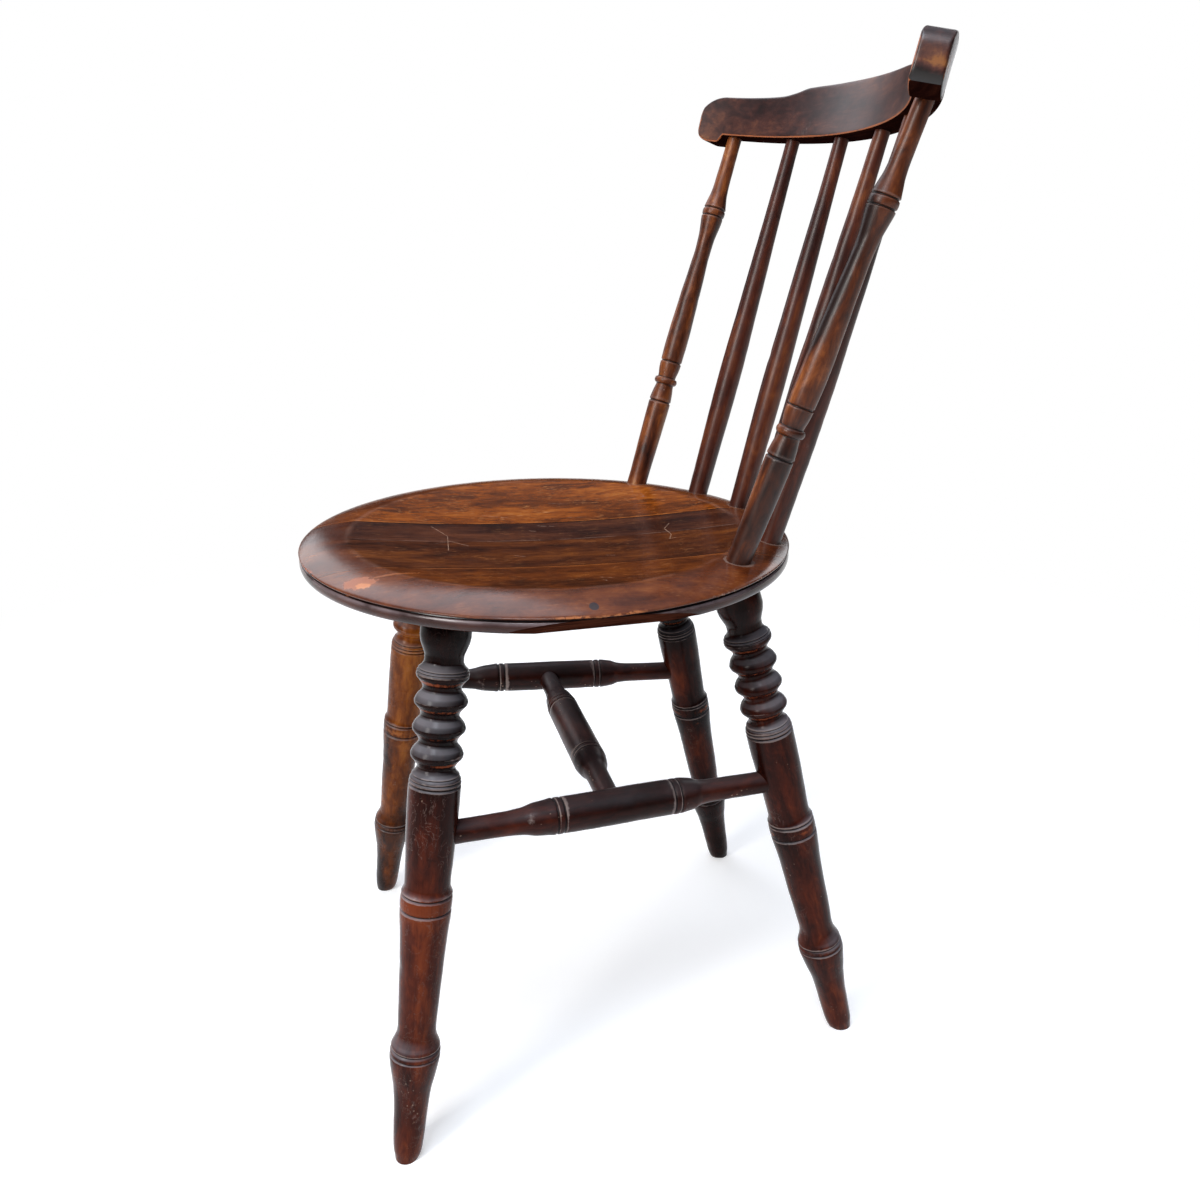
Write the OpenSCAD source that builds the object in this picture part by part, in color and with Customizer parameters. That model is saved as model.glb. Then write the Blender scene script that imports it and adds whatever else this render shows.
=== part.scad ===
// Round-seat spindle-back kitchen chair in turned and stained wood.
// The chair faces -Y, the sitter's left is +X, and the feet stand on z = 0.
// The origin is the middle of the footprint of the whole chair.

/* [Seat] */
// Diameter of the seat over its rounded rim
seat_d = 400; // [340:1:480]
// Height of the top of the seat above the floor
seat_h = 454.5; // [380:0.5:560]
// Thickness of the seat boards
seat_t = 23; // [22:0.5:36]
// Width of the rounded rim, measured in from the edge
rim_w = 38; // [30:0.5:42]
// Depth of the dished middle of the seat
dish_d = 8; // [0:0.5:9]
// Turn of the boards' grain from straight front to back, in degrees
grain_turn = 7; // [0:0.5:15]
// Glue line between the right board and the inner right board
joint_right = -35; // [-90:1:-20]
// Glue line between the two inner boards
joint_middle = 18; // [-10:1:50]
// Glue line between the inner left board and the left board
joint_left = 96; // [60:1:130]
// Width of the bevel planed under the left edge of the seat
bevel_w = 19; // [10:1:26]

/* [Legs] */
// Distance of the front legs' tops in from the edge of the seat
front_top_in = 47.5; // [36:0.5:70]
// Angle of the front legs' tops from straight forward, in degrees
front_top_angle = 50.4; // [40:0.1:60]
// Sideways place of the front feet
front_foot_x = 178.5; // [130:0.5:220]
// Forward place of the front feet
front_foot_y = 159; // [110:1:200]
// Distance of the rear legs' tops in from the edge of the seat
rear_top_in = 38.6; // [36:0.1:60]
// Angle of the rear legs' tops from straight back, in degrees
rear_top_angle = 38.3; // [30:0.1:50]
// Sideways place of the rear feet
rear_foot_x = 140; // [110:0.5:180]
// Backward place of the rear feet
rear_foot_y = 237; // [180:1:260]
// How much less far forward the right front leg stands than the left one
right_front_in = 6; // [0:0.5:10]
// How much less far back the right rear foot stands than the left one
right_rear_in = 8.5; // [0:0.5:12]
// Radius of a foot at the floor
foot_r = 10.5; // [8:0.5:14]
// Largest radius of a leg, at its rings
leg_r = 19.4; // [17:0.1:24]
// Distance of the ankle ring from the foot
ankle_at = 93; // [80:1:105]
// Distance of the knee ring from the foot
knee_at = 215; // [190:1:226]
// Distance of the first reel ring below the seat
reel_at = 47; // [38:0.5:50]
// Spacing of the four reel rings
reel_pitch = 20; // [17:0.5:21]
// Radius of the necks between the reel rings
neck_r = 14; // [11:0.5:16]
// Radius of a leg's tenon in the seat
leg_tenon_r = 11; // [8:0.5:13]
// Length of a leg's tenon in the seat
leg_tenon = 17; // [12:1:18]

/* [Stretchers] */
// Height of the side stretchers at the front legs
side_front_h = 262.5; // [245:0.5:285]
// Height of the side stretchers at the rear legs
side_rear_h = 252.5; // [245:0.5:285]
// Place of the middle stretcher along the side stretchers, from the front
cross_share = 0.49; // [0.4:0.01:0.6]
// Radius of the thick middle of a stretcher
stretcher_r = 14.2; // [12.5:0.1:16]
// Radius of a stretcher's end, which is its tenon
stretcher_end_r = 9.2; // [7:0.1:9.8]
// Distance between the two groove pairs of a stretcher
band_gap = 98; // [70:1:120]
// Length of the front or right flare of a stretcher
flare_a = 30; // [12:1:36]
// Length of the rear or left flare of a stretcher
flare_b = 19; // [12:1:36]
// Depth of a stretcher's tenon past the surface that it enters
stretcher_tenon = 14; // [8:0.5:16]

/* [Back] */
// Distance of the back posts' feet in from the edge of the seat
post_in = 24; // [20:0.5:35]
// Angle of the back posts' feet from straight back, in degrees
post_angle = 47.5; // [42:0.5:52]
// Radius of a back post at its foot
post_foot_r = 9.2; // [7.5:0.1:10]
// Largest radius of a back post's long swell
post_r = 10.4; // [9.5:0.1:13]
// Radius of a back post at its top
post_top_r = 6.4; // [5:0.1:7.2]
// Distance of the spindles' feet in from the edge of the seat
spindle_in = 15; // [13:0.5:24]
// Angle of the inner spindles' feet from straight back, in degrees
inner_angle = 7.5; // [6:0.5:10]
// Angle of the outer spindles' feet from straight back, in degrees
outer_angle = 26.5; // [24:0.5:30]
// Radius of a spindle at its foot
spindle_foot_r = 8.9; // [6:0.1:9.2]
// Largest radius of a spindle
spindle_r = 10.1; // [9.3:0.1:12]
// Radius of a spindle at its top
spindle_top_r = 5.9; // [4:0.1:7]
// Depth of the posts and spindles in the seat
seat_socket = 15; // [10:1:17]
// Depth of the posts and spindles in the crest rail
rail_socket = 14; // [8:1:20]

/* [Crest rail] */
// Height of the rail's underside above the seat, at the middle
rail_h = 301.5; // [260:0.5:360]
// Backward place of the rail's middle
rail_y = 263.5; // [240:0.5:290]
// Radius of the rail's curve at the middle of its thickness
rail_r = 291; // [265:1:360]
// Thickness of the rail
rail_t = 20.4; // [18:0.2:26]
// Lean of the rail from upright, in degrees
rail_lean = 12.8; // [4:0.2:16]
// Turn of the rail in plan, with its left end further back, in degrees
rail_turn = 0.6; // [0:0.1:2]
// Half length of the rail, to the front edge of its end
rail_half = 181; // [175:0.5:195]
// Height of the rail at its middle
crest_h = 40.5; // [37:0.5:50]
// Height of the rail at its ends
crest_end_h = 31.5; // [29:0.5:36]
// Drop of the ears below the rail's underside
ear_drop = 6.5; // [5:0.5:12]
// Length of an ear along the rail
ear_w = 24; // [22:0.5:26]
// Angle of the rail's ends from straight ahead, in degrees
end_cut = 33; // [20:1:35]
// Arc between neighbouring spindles in the rail, in degrees
spindle_step = 12.6; // [11:0.1:13]
// Arc from the rail's middle to a back post, in degrees
post_step = 32.5; // [30:0.1:33]

/* [Fits] */
// Clearance of a tenon in its socket, on the radius
fit = 0.1; // [0.05:0.05:0.3]
// Space left at the bottom of a socket
end_gap = 0.5; // [0.2:0.1:1.5]

/* [Hidden] */
$fn = 64;

// Forms of a stretch of turning: straight taper, ogee, rounded out, hollowed in.
TAPER = 0;
OGEE = 1;
ROUND = 2;
HOLLOW = 3;
steps = 5;         // pieces in each curved stretch of an outline
groove_w = 2.4;    // width of a cut groove
groove_d = 1.1;    // depth of a cut groove

seat_r = seat_d / 2;
under_h = seat_h - seat_t;
reach = 400;       // longer than any cut through the chair

// Share of the way across a stretch, for the share t of its length.
function share(form, rising, t) =
    form == TAPER ? t :
    form == OGEE ? (1 - cos(180 * t)) / 2 :
    (form == ROUND) == rising ? sin(90 * t) : 1 - cos(90 * t);

// Points from station a to station b, which is [distance, radius, form].
function stretch(a, b) =
    let (n = b[2] == TAPER ? 1 : steps)
    [for (i = [1:n]) [a[0] + (b[0] - a[0]) * i / n,
                      a[1] + (b[1] - a[1]) * share(b[2], b[1] > a[1], i / n)]];

// Points of a whole outline through its stations.
function outline(stations) = concat(
    [[stations[0][0], stations[0][1]]],
    [for (i = [1:len(stations) - 1]) for (p = stretch(stations[i - 1], stations[i])) p]);

// A turned piece that stands on the origin and follows its stations.
module turned(stations) {
    pts = outline(stations);
    last = pts[len(pts) - 1];
    rotate_extrude()
        polygon(concat([[0, pts[0][0]]], [for (p = pts) [p[1], p[0]]], [[0, last[0]]]));
}

seam_turn = 77;     // turn of a round piece, so that its seam lies beside its lean

// Places a piece so that it runs from point a towards point b.
module along(a, b) {
    v = b - a;
    translate(a)
        rotate([0, acos(v.z / norm(v)), atan2(v.y, v.x)])
            rotate([0, 0, seam_turn]) children();
}

function toward(a, b, d) = a + (b - a) * d / norm(b - a);
function mirrored(p) = [-p.x, p.y, p.z];

// ---- Places ----

// The right side is worked out on the left and then mirrored.
LEFT = 0;
RIGHT = 1;
front_top_r = seat_r - front_top_in;
rear_top_r = seat_r - rear_top_in;
function front_top(side) = [
    front_top_r * sin(front_top_angle),
    side * right_front_in - front_top_r * cos(front_top_angle),
    under_h];
function front_foot(side) = [front_foot_x, side * right_front_in - front_foot_y, 0];
rear_top = [rear_top_r * sin(rear_top_angle), rear_top_r * cos(rear_top_angle), under_h];
function rear_foot(side) = [rear_foot_x, rear_foot_y - side * right_rear_in, 0];

// The point of a leg's axis at height h.
function leg_point(foot, top, h) = foot + (top - foot) * h / under_h;
function side_front(side) = leg_point(front_foot(side), front_top(side), side_front_h);
function side_rear(side) = leg_point(rear_foot(side), rear_top, side_rear_h);
function side_middle(side) =
    side_front(side) + (side_rear(side) - side_front(side)) * cross_share;

// A point of the crest rail from its own x, its depth y and its height w.
rail_z = seat_h + rail_h;
function rail_point(x, y, w) =
    let (back = y * cos(rail_lean) + w * sin(rail_lean))
    [x * cos(rail_turn) - back * sin(rail_turn),
     rail_y + x * sin(rail_turn) + back * cos(rail_turn),
     rail_z - y * sin(rail_lean) + w * cos(rail_lean)];

// The middle of the underside at an angle along the rail's curve.
function rail_seat(angle) = rail_point(rail_r * sin(angle), rail_r * (cos(angle) - 1), 0);

// A point on top of the seat, some way in from its edge.
function on_seat(inset, angle) =
    [(seat_r - inset) * sin(angle), (seat_r - inset) * cos(angle), seat_h];

// The head of a post or spindle at an angle to either side of the middle.
function head(side, angle) = side == LEFT ? rail_seat(angle) : mirrored(rail_seat(-angle));

post_foot = on_seat(post_in, post_angle);
function post_head(side) = head(side, post_step);
outer_foot = on_seat(spindle_in, outer_angle);
function outer_head(side) = head(side, spindle_step * 1.5);
inner_foot = on_seat(spindle_in, inner_angle);
function inner_head(side) = head(side, spindle_step / 2);

// The chair reaches from the front of the seat to the top of the rail's back.
front_edge = -seat_r;
back_edge = rail_y + rail_t / 2 * cos(rail_lean) + crest_h * sin(rail_lean);
middle_y = (front_edge + back_edge) / 2;

// ---- Sockets ----

// A blind round socket from point a towards b, from below its mouth to its depth.
module socket(a, b, r, depth, mouth) {
    along(toward(a, b, -mouth), b)
        cylinder(r = r + fit, h = depth + end_gap + mouth);
}

module both_sides() {
    children();
    mirror([1, 0, 0]) children();
}

// ---- Seat ----

// Half section of the seat: dished top, rounded rim, quirk, half-round band and chamfer.
rim_h = 7.5;        // drop of the rim's curve from the top to its nose
rim_under = 1.6;    // height of the rim under its nose
rim_in = 1.2;       // width of the rim under its nose
quirk_d = 2.2;      // depth of the quirk under the rim
quirk_w = 0.8;      // height of the quirk
band_h = 8.8;       // height of the half-round band
band_w = 2;         // bulge of the half-round band
chamfer_w = 11;     // width of the chamfer under the band
bevel_rise = 15;    // height of the bevel at the seat's edge, above the underside

module seat_section() {
    nose = seat_h - rim_h;
    quirk_r = seat_r - rim_in;
    quirk_z = nose - rim_under;
    band_mid = quirk_z - quirk_w - band_h / 2;
    polygon(concat(
        [[0, under_h]],
        [for (i = [0:8]) [(seat_r - rim_w) * i / 8, seat_h - dish_d * (1 - i * i / 64)]],
        [for (a = [80:-10:0]) [seat_r - rim_w + rim_w * cos(a), nose + rim_h * sin(a)]],
        [[seat_r - rim_in / 4, quirk_z + rim_under / 3], [quirk_r, quirk_z],
         [quirk_r - quirk_d, quirk_z - 0.1], [quirk_r - quirk_d, quirk_z - quirk_w + 0.1]],
        [for (a = [90:-22.5:-90])
            [seat_r - band_w + band_w * cos(a), band_mid + band_h / 2 * sin(a)]],
        [[seat_r - band_w - chamfer_w, under_h]]));
}

// The wedge planed off the underside along the left edge.
module side_bevel() {
    translate([seat_r, 0, under_h + bevel_rise])
        rotate([0, -atan2(bevel_rise, bevel_w), 0])
            translate([-reach, -reach / 2, -reach])
                cube([2 * reach, reach, reach]);
}

// The socket at end a of a piece that runs from a to b.
module end_socket(a, b, r, depth) {
    socket(a, toward(a, b, -10), r, depth, 8);
}

module seat_sockets(side) {
    leg_socket(front_top(side), front_foot(side));
    leg_socket(rear_top, rear_foot(side));
    end_socket(post_foot, post_head(side), post_foot_r, seat_socket);
    end_socket(outer_foot, outer_head(side), spindle_foot_r, seat_socket);
    end_socket(inner_foot, inner_head(side), spindle_foot_r, seat_socket);
}

module leg_socket(top, foot) {
    socket(top, toward(top, foot, -10), leg_tenon_r, leg_tenon, 5);
}

// One board of the seat, between the glue lines at x = a and x = b.
module seat_board(a, b) {
    difference() {
        intersection() {
            rotate_extrude($fn = 128) seat_section();
            rotate([0, 0, -grain_turn])
                translate([a, -reach, 0])
                    cube([b - a, 2 * reach, seat_h + 1]);
        }
        seat_sockets(LEFT);
        mirror([1, 0, 0]) seat_sockets(RIGHT);
        side_bevel();
    }
}

// ---- Legs ----

// The collar under the reel rings, from the foot, is at one place on every leg.
collar = norm(front_top(LEFT) - front_foot(LEFT)) - reel_at - 4 * reel_pitch;

// Stations of a leg of a length up to the seat.
function leg_stations(length) =
    concat(
        [[-6, foot_r - 0.2, TAPER], [14, foot_r + 1, TAPER], [50, foot_r + 2.9, TAPER],
         [ankle_at - 3, leg_r, OGEE], [ankle_at + 3, leg_r - 0.6, ROUND],
         [ankle_at + 16, neck_r + 0.5, OGEE], [knee_at - 40, leg_r - 2.6, TAPER],
         [knee_at - 5, leg_r - 0.4, HOLLOW]],
        groove(knee_at - 4, leg_r - 0.4),
        [[knee_at, leg_r, TAPER]],
        groove(knee_at + 7, leg_r - 0.3),
        [[knee_at + 15, leg_r - 2.5, OGEE], [collar - 22, leg_r - 0.6, TAPER],
         [collar - 1, leg_r, TAPER], [collar + 2, leg_r - 0.5, ROUND],
         [collar + 10, neck_r, OGEE]],
        [for (i = [0:3]) let (crest = collar + reel_pitch * (i + 1) - 1)
            each [[crest, leg_r - 0.4, OGEE], [crest + reel_pitch / 2, neck_r, OGEE]]],
        [[collar + 4 * reel_pitch + 26, leg_r - 2.2, OGEE], [length + 6, leg_r - 5, ROUND]]);

// Four stations of a narrow groove that starts at distance d.
function groove(d, r) = [
    [d, r, TAPER], [d + groove_w * 0.4, r - groove_d, TAPER],
    [d + groove_w * 0.6, r - groove_d, TAPER], [d + groove_w, r, TAPER]];

module leg(foot, top) {
    length = norm(top - foot);
    difference() {
        union() {
            intersection() {
                along(foot, top) turned(leg_stations(length));
                translate([-reach, -reach, 0]) cube([2 * reach, 2 * reach, under_h]);
            }
            along(foot, top)
                translate([0, 0, length - 8]) cylinder(r = leg_tenon_r, h = leg_tenon + 8);
        }
        children();
    }
}

module front_leg(side) {
    leg(front_foot(side), front_top(side))
        stretcher_socket(side_front(side), side_rear(side), leg_r);
}

module rear_leg(side) {
    leg(rear_foot(side), rear_top)
        stretcher_socket(side_rear(side), side_front(side), leg_r);
}

// ---- Stretchers ----

// The axis point where a tenon ends, inside a round member of radius r.
function tenon_start(r) = r - stretcher_tenon;

// The socket for a stretcher that leaves the axis point a towards b.
module stretcher_socket(a, b, r) {
    start = tenon_start(r) - end_gap;
    along(toward(a, b, start), b)
        cylinder(r = stretcher_end_r + fit, h = r - start + 12);
}

// A stretcher between the axis points a and b of two members of radius r.
module stretcher(a, b, r) {
    length = norm(b - a);
    half = length / 2;
    start = tenon_start(r);
    near_band = half - band_gap / 2;
    far_band = half + band_gap / 2;
    along(a, b) turned(concat(
        [[start, stretcher_end_r, TAPER], [r + 8, stretcher_end_r, TAPER],
         [near_band - 10 - flare_a, stretcher_end_r + 0.4, TAPER],
         [near_band - 10, stretcher_r - 0.5, OGEE], [near_band - 4, stretcher_r, ROUND]],
        groove(near_band - 3.6, stretcher_r),
        groove(near_band + 1.2, stretcher_r),
        groove(far_band - 3.6, stretcher_r),
        groove(far_band + 1.2, stretcher_r),
        [[far_band + 4, stretcher_r, TAPER], [far_band + 10, stretcher_r - 0.5, ROUND],
         [far_band + 10 + flare_b, stretcher_end_r + 0.4, OGEE],
         [length - r - 8, stretcher_end_r, TAPER], [length - start, stretcher_end_r, TAPER]]));
}

// A side stretcher, on the left side of the chair.
module side_stretcher(side) {
    other = mirrored(side_middle(side == LEFT ? RIGHT : LEFT));
    difference() {
        stretcher(side_front(side), side_rear(side), leg_r);
        stretcher_socket(side_middle(side), other, stretcher_r);
    }
}

module cross_stretcher() {
    stretcher(mirrored(side_middle(RIGHT)), side_middle(LEFT), stretcher_r);
}

// ---- Back posts and spindles ----

post_neck = 80.5;      // first groove of a back post, from the seat
post_bead = 100.5;     // bead of a back post
post_band = 119;   // second groove of a back post
post_ring = 68;      // double ring, down from the rail's underside to its middle

module back_post(side) {
    length = norm(post_head(side) - post_foot);
    ring = length - post_ring;
    along(post_foot, post_head(side)) turned(concat(
        [[-seat_socket, post_foot_r, TAPER], [6, post_foot_r, TAPER],
         [post_neck - 20, post_r - 0.1, TAPER]],
        groove(post_neck - 1.2, post_r),
        [[post_neck + 4, post_r - 0.3, ROUND], [post_bead - 3, post_r - 1.9, HOLLOW],
         [post_bead, post_r + 0.4, ROUND], [post_bead + 3, post_r - 1.9, ROUND],
         [post_band - 3, post_r - 0.6, HOLLOW]],
        groove(post_band - 1.2, post_r - 0.5),
        [[post_band + 16, post_r, ROUND], [ring - 40, post_top_r + 0.7, TAPER],
         [ring - 24, post_top_r + 0.9, TAPER], [ring - 7, post_r - 0.2, OGEE]],
        groove(ring - 4.5, post_r - 0.3),
        [[ring, post_r + 0.2, ROUND]],
        groove(ring + 2.1, post_r - 0.2),
        [[ring + 5.5, post_r - 0.4, TAPER], [ring + 22, post_top_r + 0.5, HOLLOW],
         [length - 6, post_top_r, TAPER], [length + rail_socket, post_top_r, TAPER]]));
}

module spindle(foot, head) {
    length = norm(head - foot);
    along(foot, head) turned([
        [-seat_socket, spindle_foot_r, TAPER], [4, spindle_foot_r, TAPER],
        [length * 0.34, spindle_r, OGEE], [length - 6, spindle_top_r, OGEE],
        [length + rail_socket, spindle_top_r, TAPER]]);
}

// ---- Crest rail ----

crest_flat = 72;     // half width of the raised crest
crest_run = 34;      // width of the ogee down from the crest
corner_r = 20;       // rounding of the top corner of an end
ear_r = 12;          // rounding of the ear's outer corner
notch_w = 5;         // width of the curve from the ear to the underside

function arc(c, r, from, to) =
    [for (i = [0:6]) c + r * [cos(from + (to - from) * i / 6), sin(from + (to - from) * i / 6)]];

// Front outline of the rail's left half, in x and height.
module rail_outline() {
    ear = rail_half - ear_w;
    top = outline([
        [0, crest_h, TAPER], [crest_flat, crest_h, TAPER],
        [crest_flat + crest_run, crest_end_h + 0.8, OGEE], [rail_half + 40, crest_end_h, TAPER]]);
    polygon(concat(
        [[-1, 0], [-1, crest_h]], top,
        [[rail_half + 40, -ear_drop]],
        [for (i = [5:-1:0]) [ear + notch_w * i / 5, -ear_drop * (1 - cos(36 * i)) / 2]]));
}

// Rounded outline of an end, running back along the rail from x = 0.
module end_outline() {
    polygon(concat(
        [[-reach, -ear_drop]],
        arc([-ear_r, ear_r - ear_drop], ear_r, -90, 0),
        arc([-corner_r, crest_end_h - corner_r], corner_r, 0, 90),
        [[-corner_r - 40, crest_end_h + 30], [-reach, crest_end_h + 30]]));
}

module upright_extrude(depth) {
    rotate([90, 0, 0]) translate([0, 0, -depth / 2])
        linear_extrude(depth) children();
}

module rail_blank() {
    intersection() {
        translate([0, -rail_r, -reach / 2])
            linear_extrude(reach)
                difference() {
                    circle(r = rail_r + rail_t / 2, $fn = 128);
                    circle(r = rail_r - rail_t / 2, $fn = 128);
                }
        both_sides() upright_extrude(reach) rail_outline();
        rail_end_limit();
        mirror([1, 0, 0]) rail_end_limit();
    }
}

// Everything inside the cut end on the left.
module rail_end_limit() {
    inner_r = rail_r - rail_t / 2;
    front_y = sqrt(inner_r * inner_r - rail_half * rail_half) - rail_r;
    translate([rail_half, front_y, 0])
        rotate([0, 0, -end_cut])
            upright_extrude(3 * reach) end_outline();
}

module rail_sockets(side) {
    end_socket(post_head(side), post_foot, post_top_r, rail_socket);
    end_socket(outer_head(side), outer_foot, spindle_top_r, rail_socket);
    end_socket(inner_head(side), inner_foot, spindle_top_r, rail_socket);
}

module rail() {
    difference() {
        translate([0, rail_y, rail_z]) rotate([-rail_lean, 0, rail_turn]) rail_blank();
        rail_sockets(LEFT);
        mirror([1, 0, 0]) rail_sockets(RIGHT);
    }
}

// ---- Nodes ----

module placed() {
    translate([0, -middle_y, 0]) children();
}

module seat_board_right() color("#5a3013") placed() seat_board(-reach, joint_right);
module seat_board_inner_right() color("#371a12") placed() seat_board(joint_right, joint_middle);
module seat_board_inner_left() color("#45210f") placed() seat_board(joint_middle, joint_left);
module seat_board_left() color("#4a2413") placed() seat_board(joint_left, reach);
module front_left_leg() color("#2e1512") placed() front_leg(LEFT);
module front_right_leg() color("#4c230f") placed() mirror([1, 0, 0]) front_leg(RIGHT);
module rear_left_leg() color("#2a1311") placed() rear_leg(LEFT);
module rear_right_leg() color("#3a1b11") placed() mirror([1, 0, 0]) rear_leg(RIGHT);
module left_side_stretcher() color("#31161a") placed() side_stretcher(LEFT);
module right_side_stretcher() color("#34191a") placed() mirror([1, 0, 0]) side_stretcher(RIGHT);
module middle_stretcher() color("#351a17") placed() cross_stretcher();
module left_back_post() color("#4b2a14") placed() back_post(LEFT);
module right_back_post() color("#5a3519") placed() mirror([1, 0, 0]) back_post(RIGHT);
module outer_left_spindle() color("#3b1c15") placed() spindle(outer_foot, outer_head(LEFT));
module inner_left_spindle() color("#3b1c15") placed() spindle(inner_foot, inner_head(LEFT));
module inner_right_spindle() color("#3f1e16")
    placed() mirror([1, 0, 0]) spindle(inner_foot, inner_head(RIGHT));
module outer_right_spindle() color("#3f1e16")
    placed() mirror([1, 0, 0]) spindle(outer_foot, outer_head(RIGHT));
module crest_rail() color("#3f2120") placed() rail();

seat_board_right();
seat_board_inner_right();
seat_board_inner_left();
seat_board_left();
front_left_leg();
front_right_leg();
rear_left_leg();
rear_right_leg();
left_side_stretcher();
right_side_stretcher();
middle_stretcher();
left_back_post();
right_back_post();
outer_left_spindle();
inner_left_spindle();
inner_right_spindle();
outer_right_spindle();
crest_rail();
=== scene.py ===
"""Round-seat spindle-back kitchen chair in stained, polished and worn turned wood."""
import math

import bmesh
import bpy
import numpy as np
from mathutils import Matrix, Vector

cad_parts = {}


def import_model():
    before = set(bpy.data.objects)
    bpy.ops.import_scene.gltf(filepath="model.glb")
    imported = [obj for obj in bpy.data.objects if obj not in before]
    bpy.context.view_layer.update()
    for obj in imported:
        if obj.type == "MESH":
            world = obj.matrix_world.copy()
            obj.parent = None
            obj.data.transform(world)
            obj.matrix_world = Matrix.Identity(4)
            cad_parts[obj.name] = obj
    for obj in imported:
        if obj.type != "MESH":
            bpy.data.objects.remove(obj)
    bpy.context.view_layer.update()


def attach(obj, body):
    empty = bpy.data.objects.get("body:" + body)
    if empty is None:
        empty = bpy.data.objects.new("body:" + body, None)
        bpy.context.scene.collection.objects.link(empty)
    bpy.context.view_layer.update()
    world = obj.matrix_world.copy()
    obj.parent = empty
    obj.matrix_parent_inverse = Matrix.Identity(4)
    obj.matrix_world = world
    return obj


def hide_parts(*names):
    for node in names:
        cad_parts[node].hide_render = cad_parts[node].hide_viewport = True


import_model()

# ---- Sizes of the chair, in millimetres, with the origin under the middle of the seat ----

MM = 0.001
SEAT_R = 200.0
SEAT_H = 454.5
SEAT_T = 23.0
UNDER_H = SEAT_H - SEAT_T
RIM_W = 38.0
RIM_H = 7.5
DISH = 8.0
GRAIN_TURN = 7.0
JOINTS = (-35.0, 18.0, 96.0)
BEVEL_W = 19.0
BEVEL_RISE = 15.0

LEG_R = 19.4
NECK_R = 14.0
FOOT_R = 10.5
ANKLE = 93.0
KNEE = 215.0
REEL_AT = 47.0
REEL_PITCH = 20.0
FRONT_FOOT = (178.5, -159.0)
REAR_FOOT = (140.0, 237.0)
RIGHT_FRONT_IN = 6.0
RIGHT_REAR_IN = 8.5
FRONT_TOP_R = 152.5
FRONT_TOP_ANGLE = 50.4
REAR_TOP_R = 161.4
REAR_TOP_ANGLE = 38.3
LEG_INTO_SEAT = 0.6

SIDE_FRONT_H = 262.5
SIDE_REAR_H = 252.5
CROSS_SHARE = 0.49
STRETCHER_R = 14.2
STRETCHER_END_R = 9.2

POST_R = 10.4
POST_FOOT_R = 9.2
POST_TOP_R = 6.4
POST_RING = 68.0
POST_FOOT_AT = 176.0
POST_ANGLE = 47.5
POST_HEAD_ANGLE = 32.5
POST_TENON = 9.5
SPINDLE_R = 10.1
SPINDLE_FOOT_R = 8.9
SPINDLE_TOP_R = 5.9
SPINDLE_FOOT_AT = 185.0
OUTER_ANGLE, OUTER_HEAD_ANGLE = 26.5, 18.9
INNER_ANGLE, INNER_HEAD_ANGLE = 7.5, 6.3
SPINDLE_TENON = 10.5
HEAD_IN_RAIL = 7.0

RAIL_H = 301.5
RAIL_Y = 263.5
RAIL_R = 291.0
RAIL_T = 20.4
RAIL_LEAN = 12.8
RAIL_TURN = 0.6
RAIL_HALF = 181.0
CREST_H = 40.5
EAR_DROP = 6.5
EAR_W = 24.0
EAR_RUN = 5.0
END_CUT = 33.0
CORNER_R = 20.0
LEFT_CORNER_R = 14.0
EAR_R = 12.0
END_ROUND = 3.0
RAIL_EDGE = 1.6


def sin(degrees):
    return math.sin(math.radians(degrees))


def cos(degrees):
    return math.cos(math.radians(degrees))


# The row frame's origin is in the middle of the chair from front to back.
BACK_EDGE = RAIL_Y + RAIL_T / 2 * cos(RAIL_LEAN) + CREST_H * sin(RAIL_LEAN)
MIDDLE_Y = (BACK_EDGE - SEAT_R) / 2


def world(p):
    """The place in the row frame, in metres, of a point of the chair in millimetres."""
    return Vector((p[0], p[1] - MIDDLE_Y, p[2])) * MM


def polar(radius, angle, z):
    """A point at an angle from straight back, towards the sitter's left."""
    return Vector((radius * sin(angle), radius * cos(angle), z))


def right(p):
    """The point mirrored to the sitter's right."""
    return Vector((-p[0], p[1], p[2]))


def front_leg_ends(side):
    top = Vector((FRONT_TOP_R * sin(FRONT_TOP_ANGLE), -FRONT_TOP_R * cos(FRONT_TOP_ANGLE), UNDER_H))
    foot = Vector((*FRONT_FOOT, 0))
    if side == "right":
        shift = Vector((0, RIGHT_FRONT_IN, 0))
        top, foot = right(top + shift), right(foot + shift)
    return foot, top


def rear_leg_ends(side):
    top = polar(REAR_TOP_R, REAR_TOP_ANGLE, UNDER_H)
    foot = Vector((*REAR_FOOT, 0))
    if side == "right":
        top, foot = right(top), right(foot - Vector((0, RIGHT_REAR_IN, 0)))
    return foot, top


def leg_point(ends, height):
    foot, top = ends
    return foot + (top - foot) * (height / UNDER_H)


def side_ends(side):
    return leg_point(front_leg_ends(side), SIDE_FRONT_H), leg_point(rear_leg_ends(side), SIDE_REAR_H)


def side_middle(side):
    a, b = side_ends(side)
    return a + (b - a) * CROSS_SHARE


def rail_point(x, y, w):
    """A point of the crest rail from its own x, its depth y and its height w."""
    back = y * cos(RAIL_LEAN) + w * sin(RAIL_LEAN)
    return Vector((
        x * cos(RAIL_TURN) - back * sin(RAIL_TURN),
        RAIL_Y + x * sin(RAIL_TURN) + back * cos(RAIL_TURN),
        SEAT_H + RAIL_H - y * sin(RAIL_LEAN) + w * cos(RAIL_LEAN)))


def rail_seat(angle):
    """The middle of the rail's underside at an angle along its curve."""
    return rail_point(RAIL_R * sin(angle), RAIL_R * (cos(angle) - 1), 0)


# ---- Colour and node helpers ----

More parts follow.
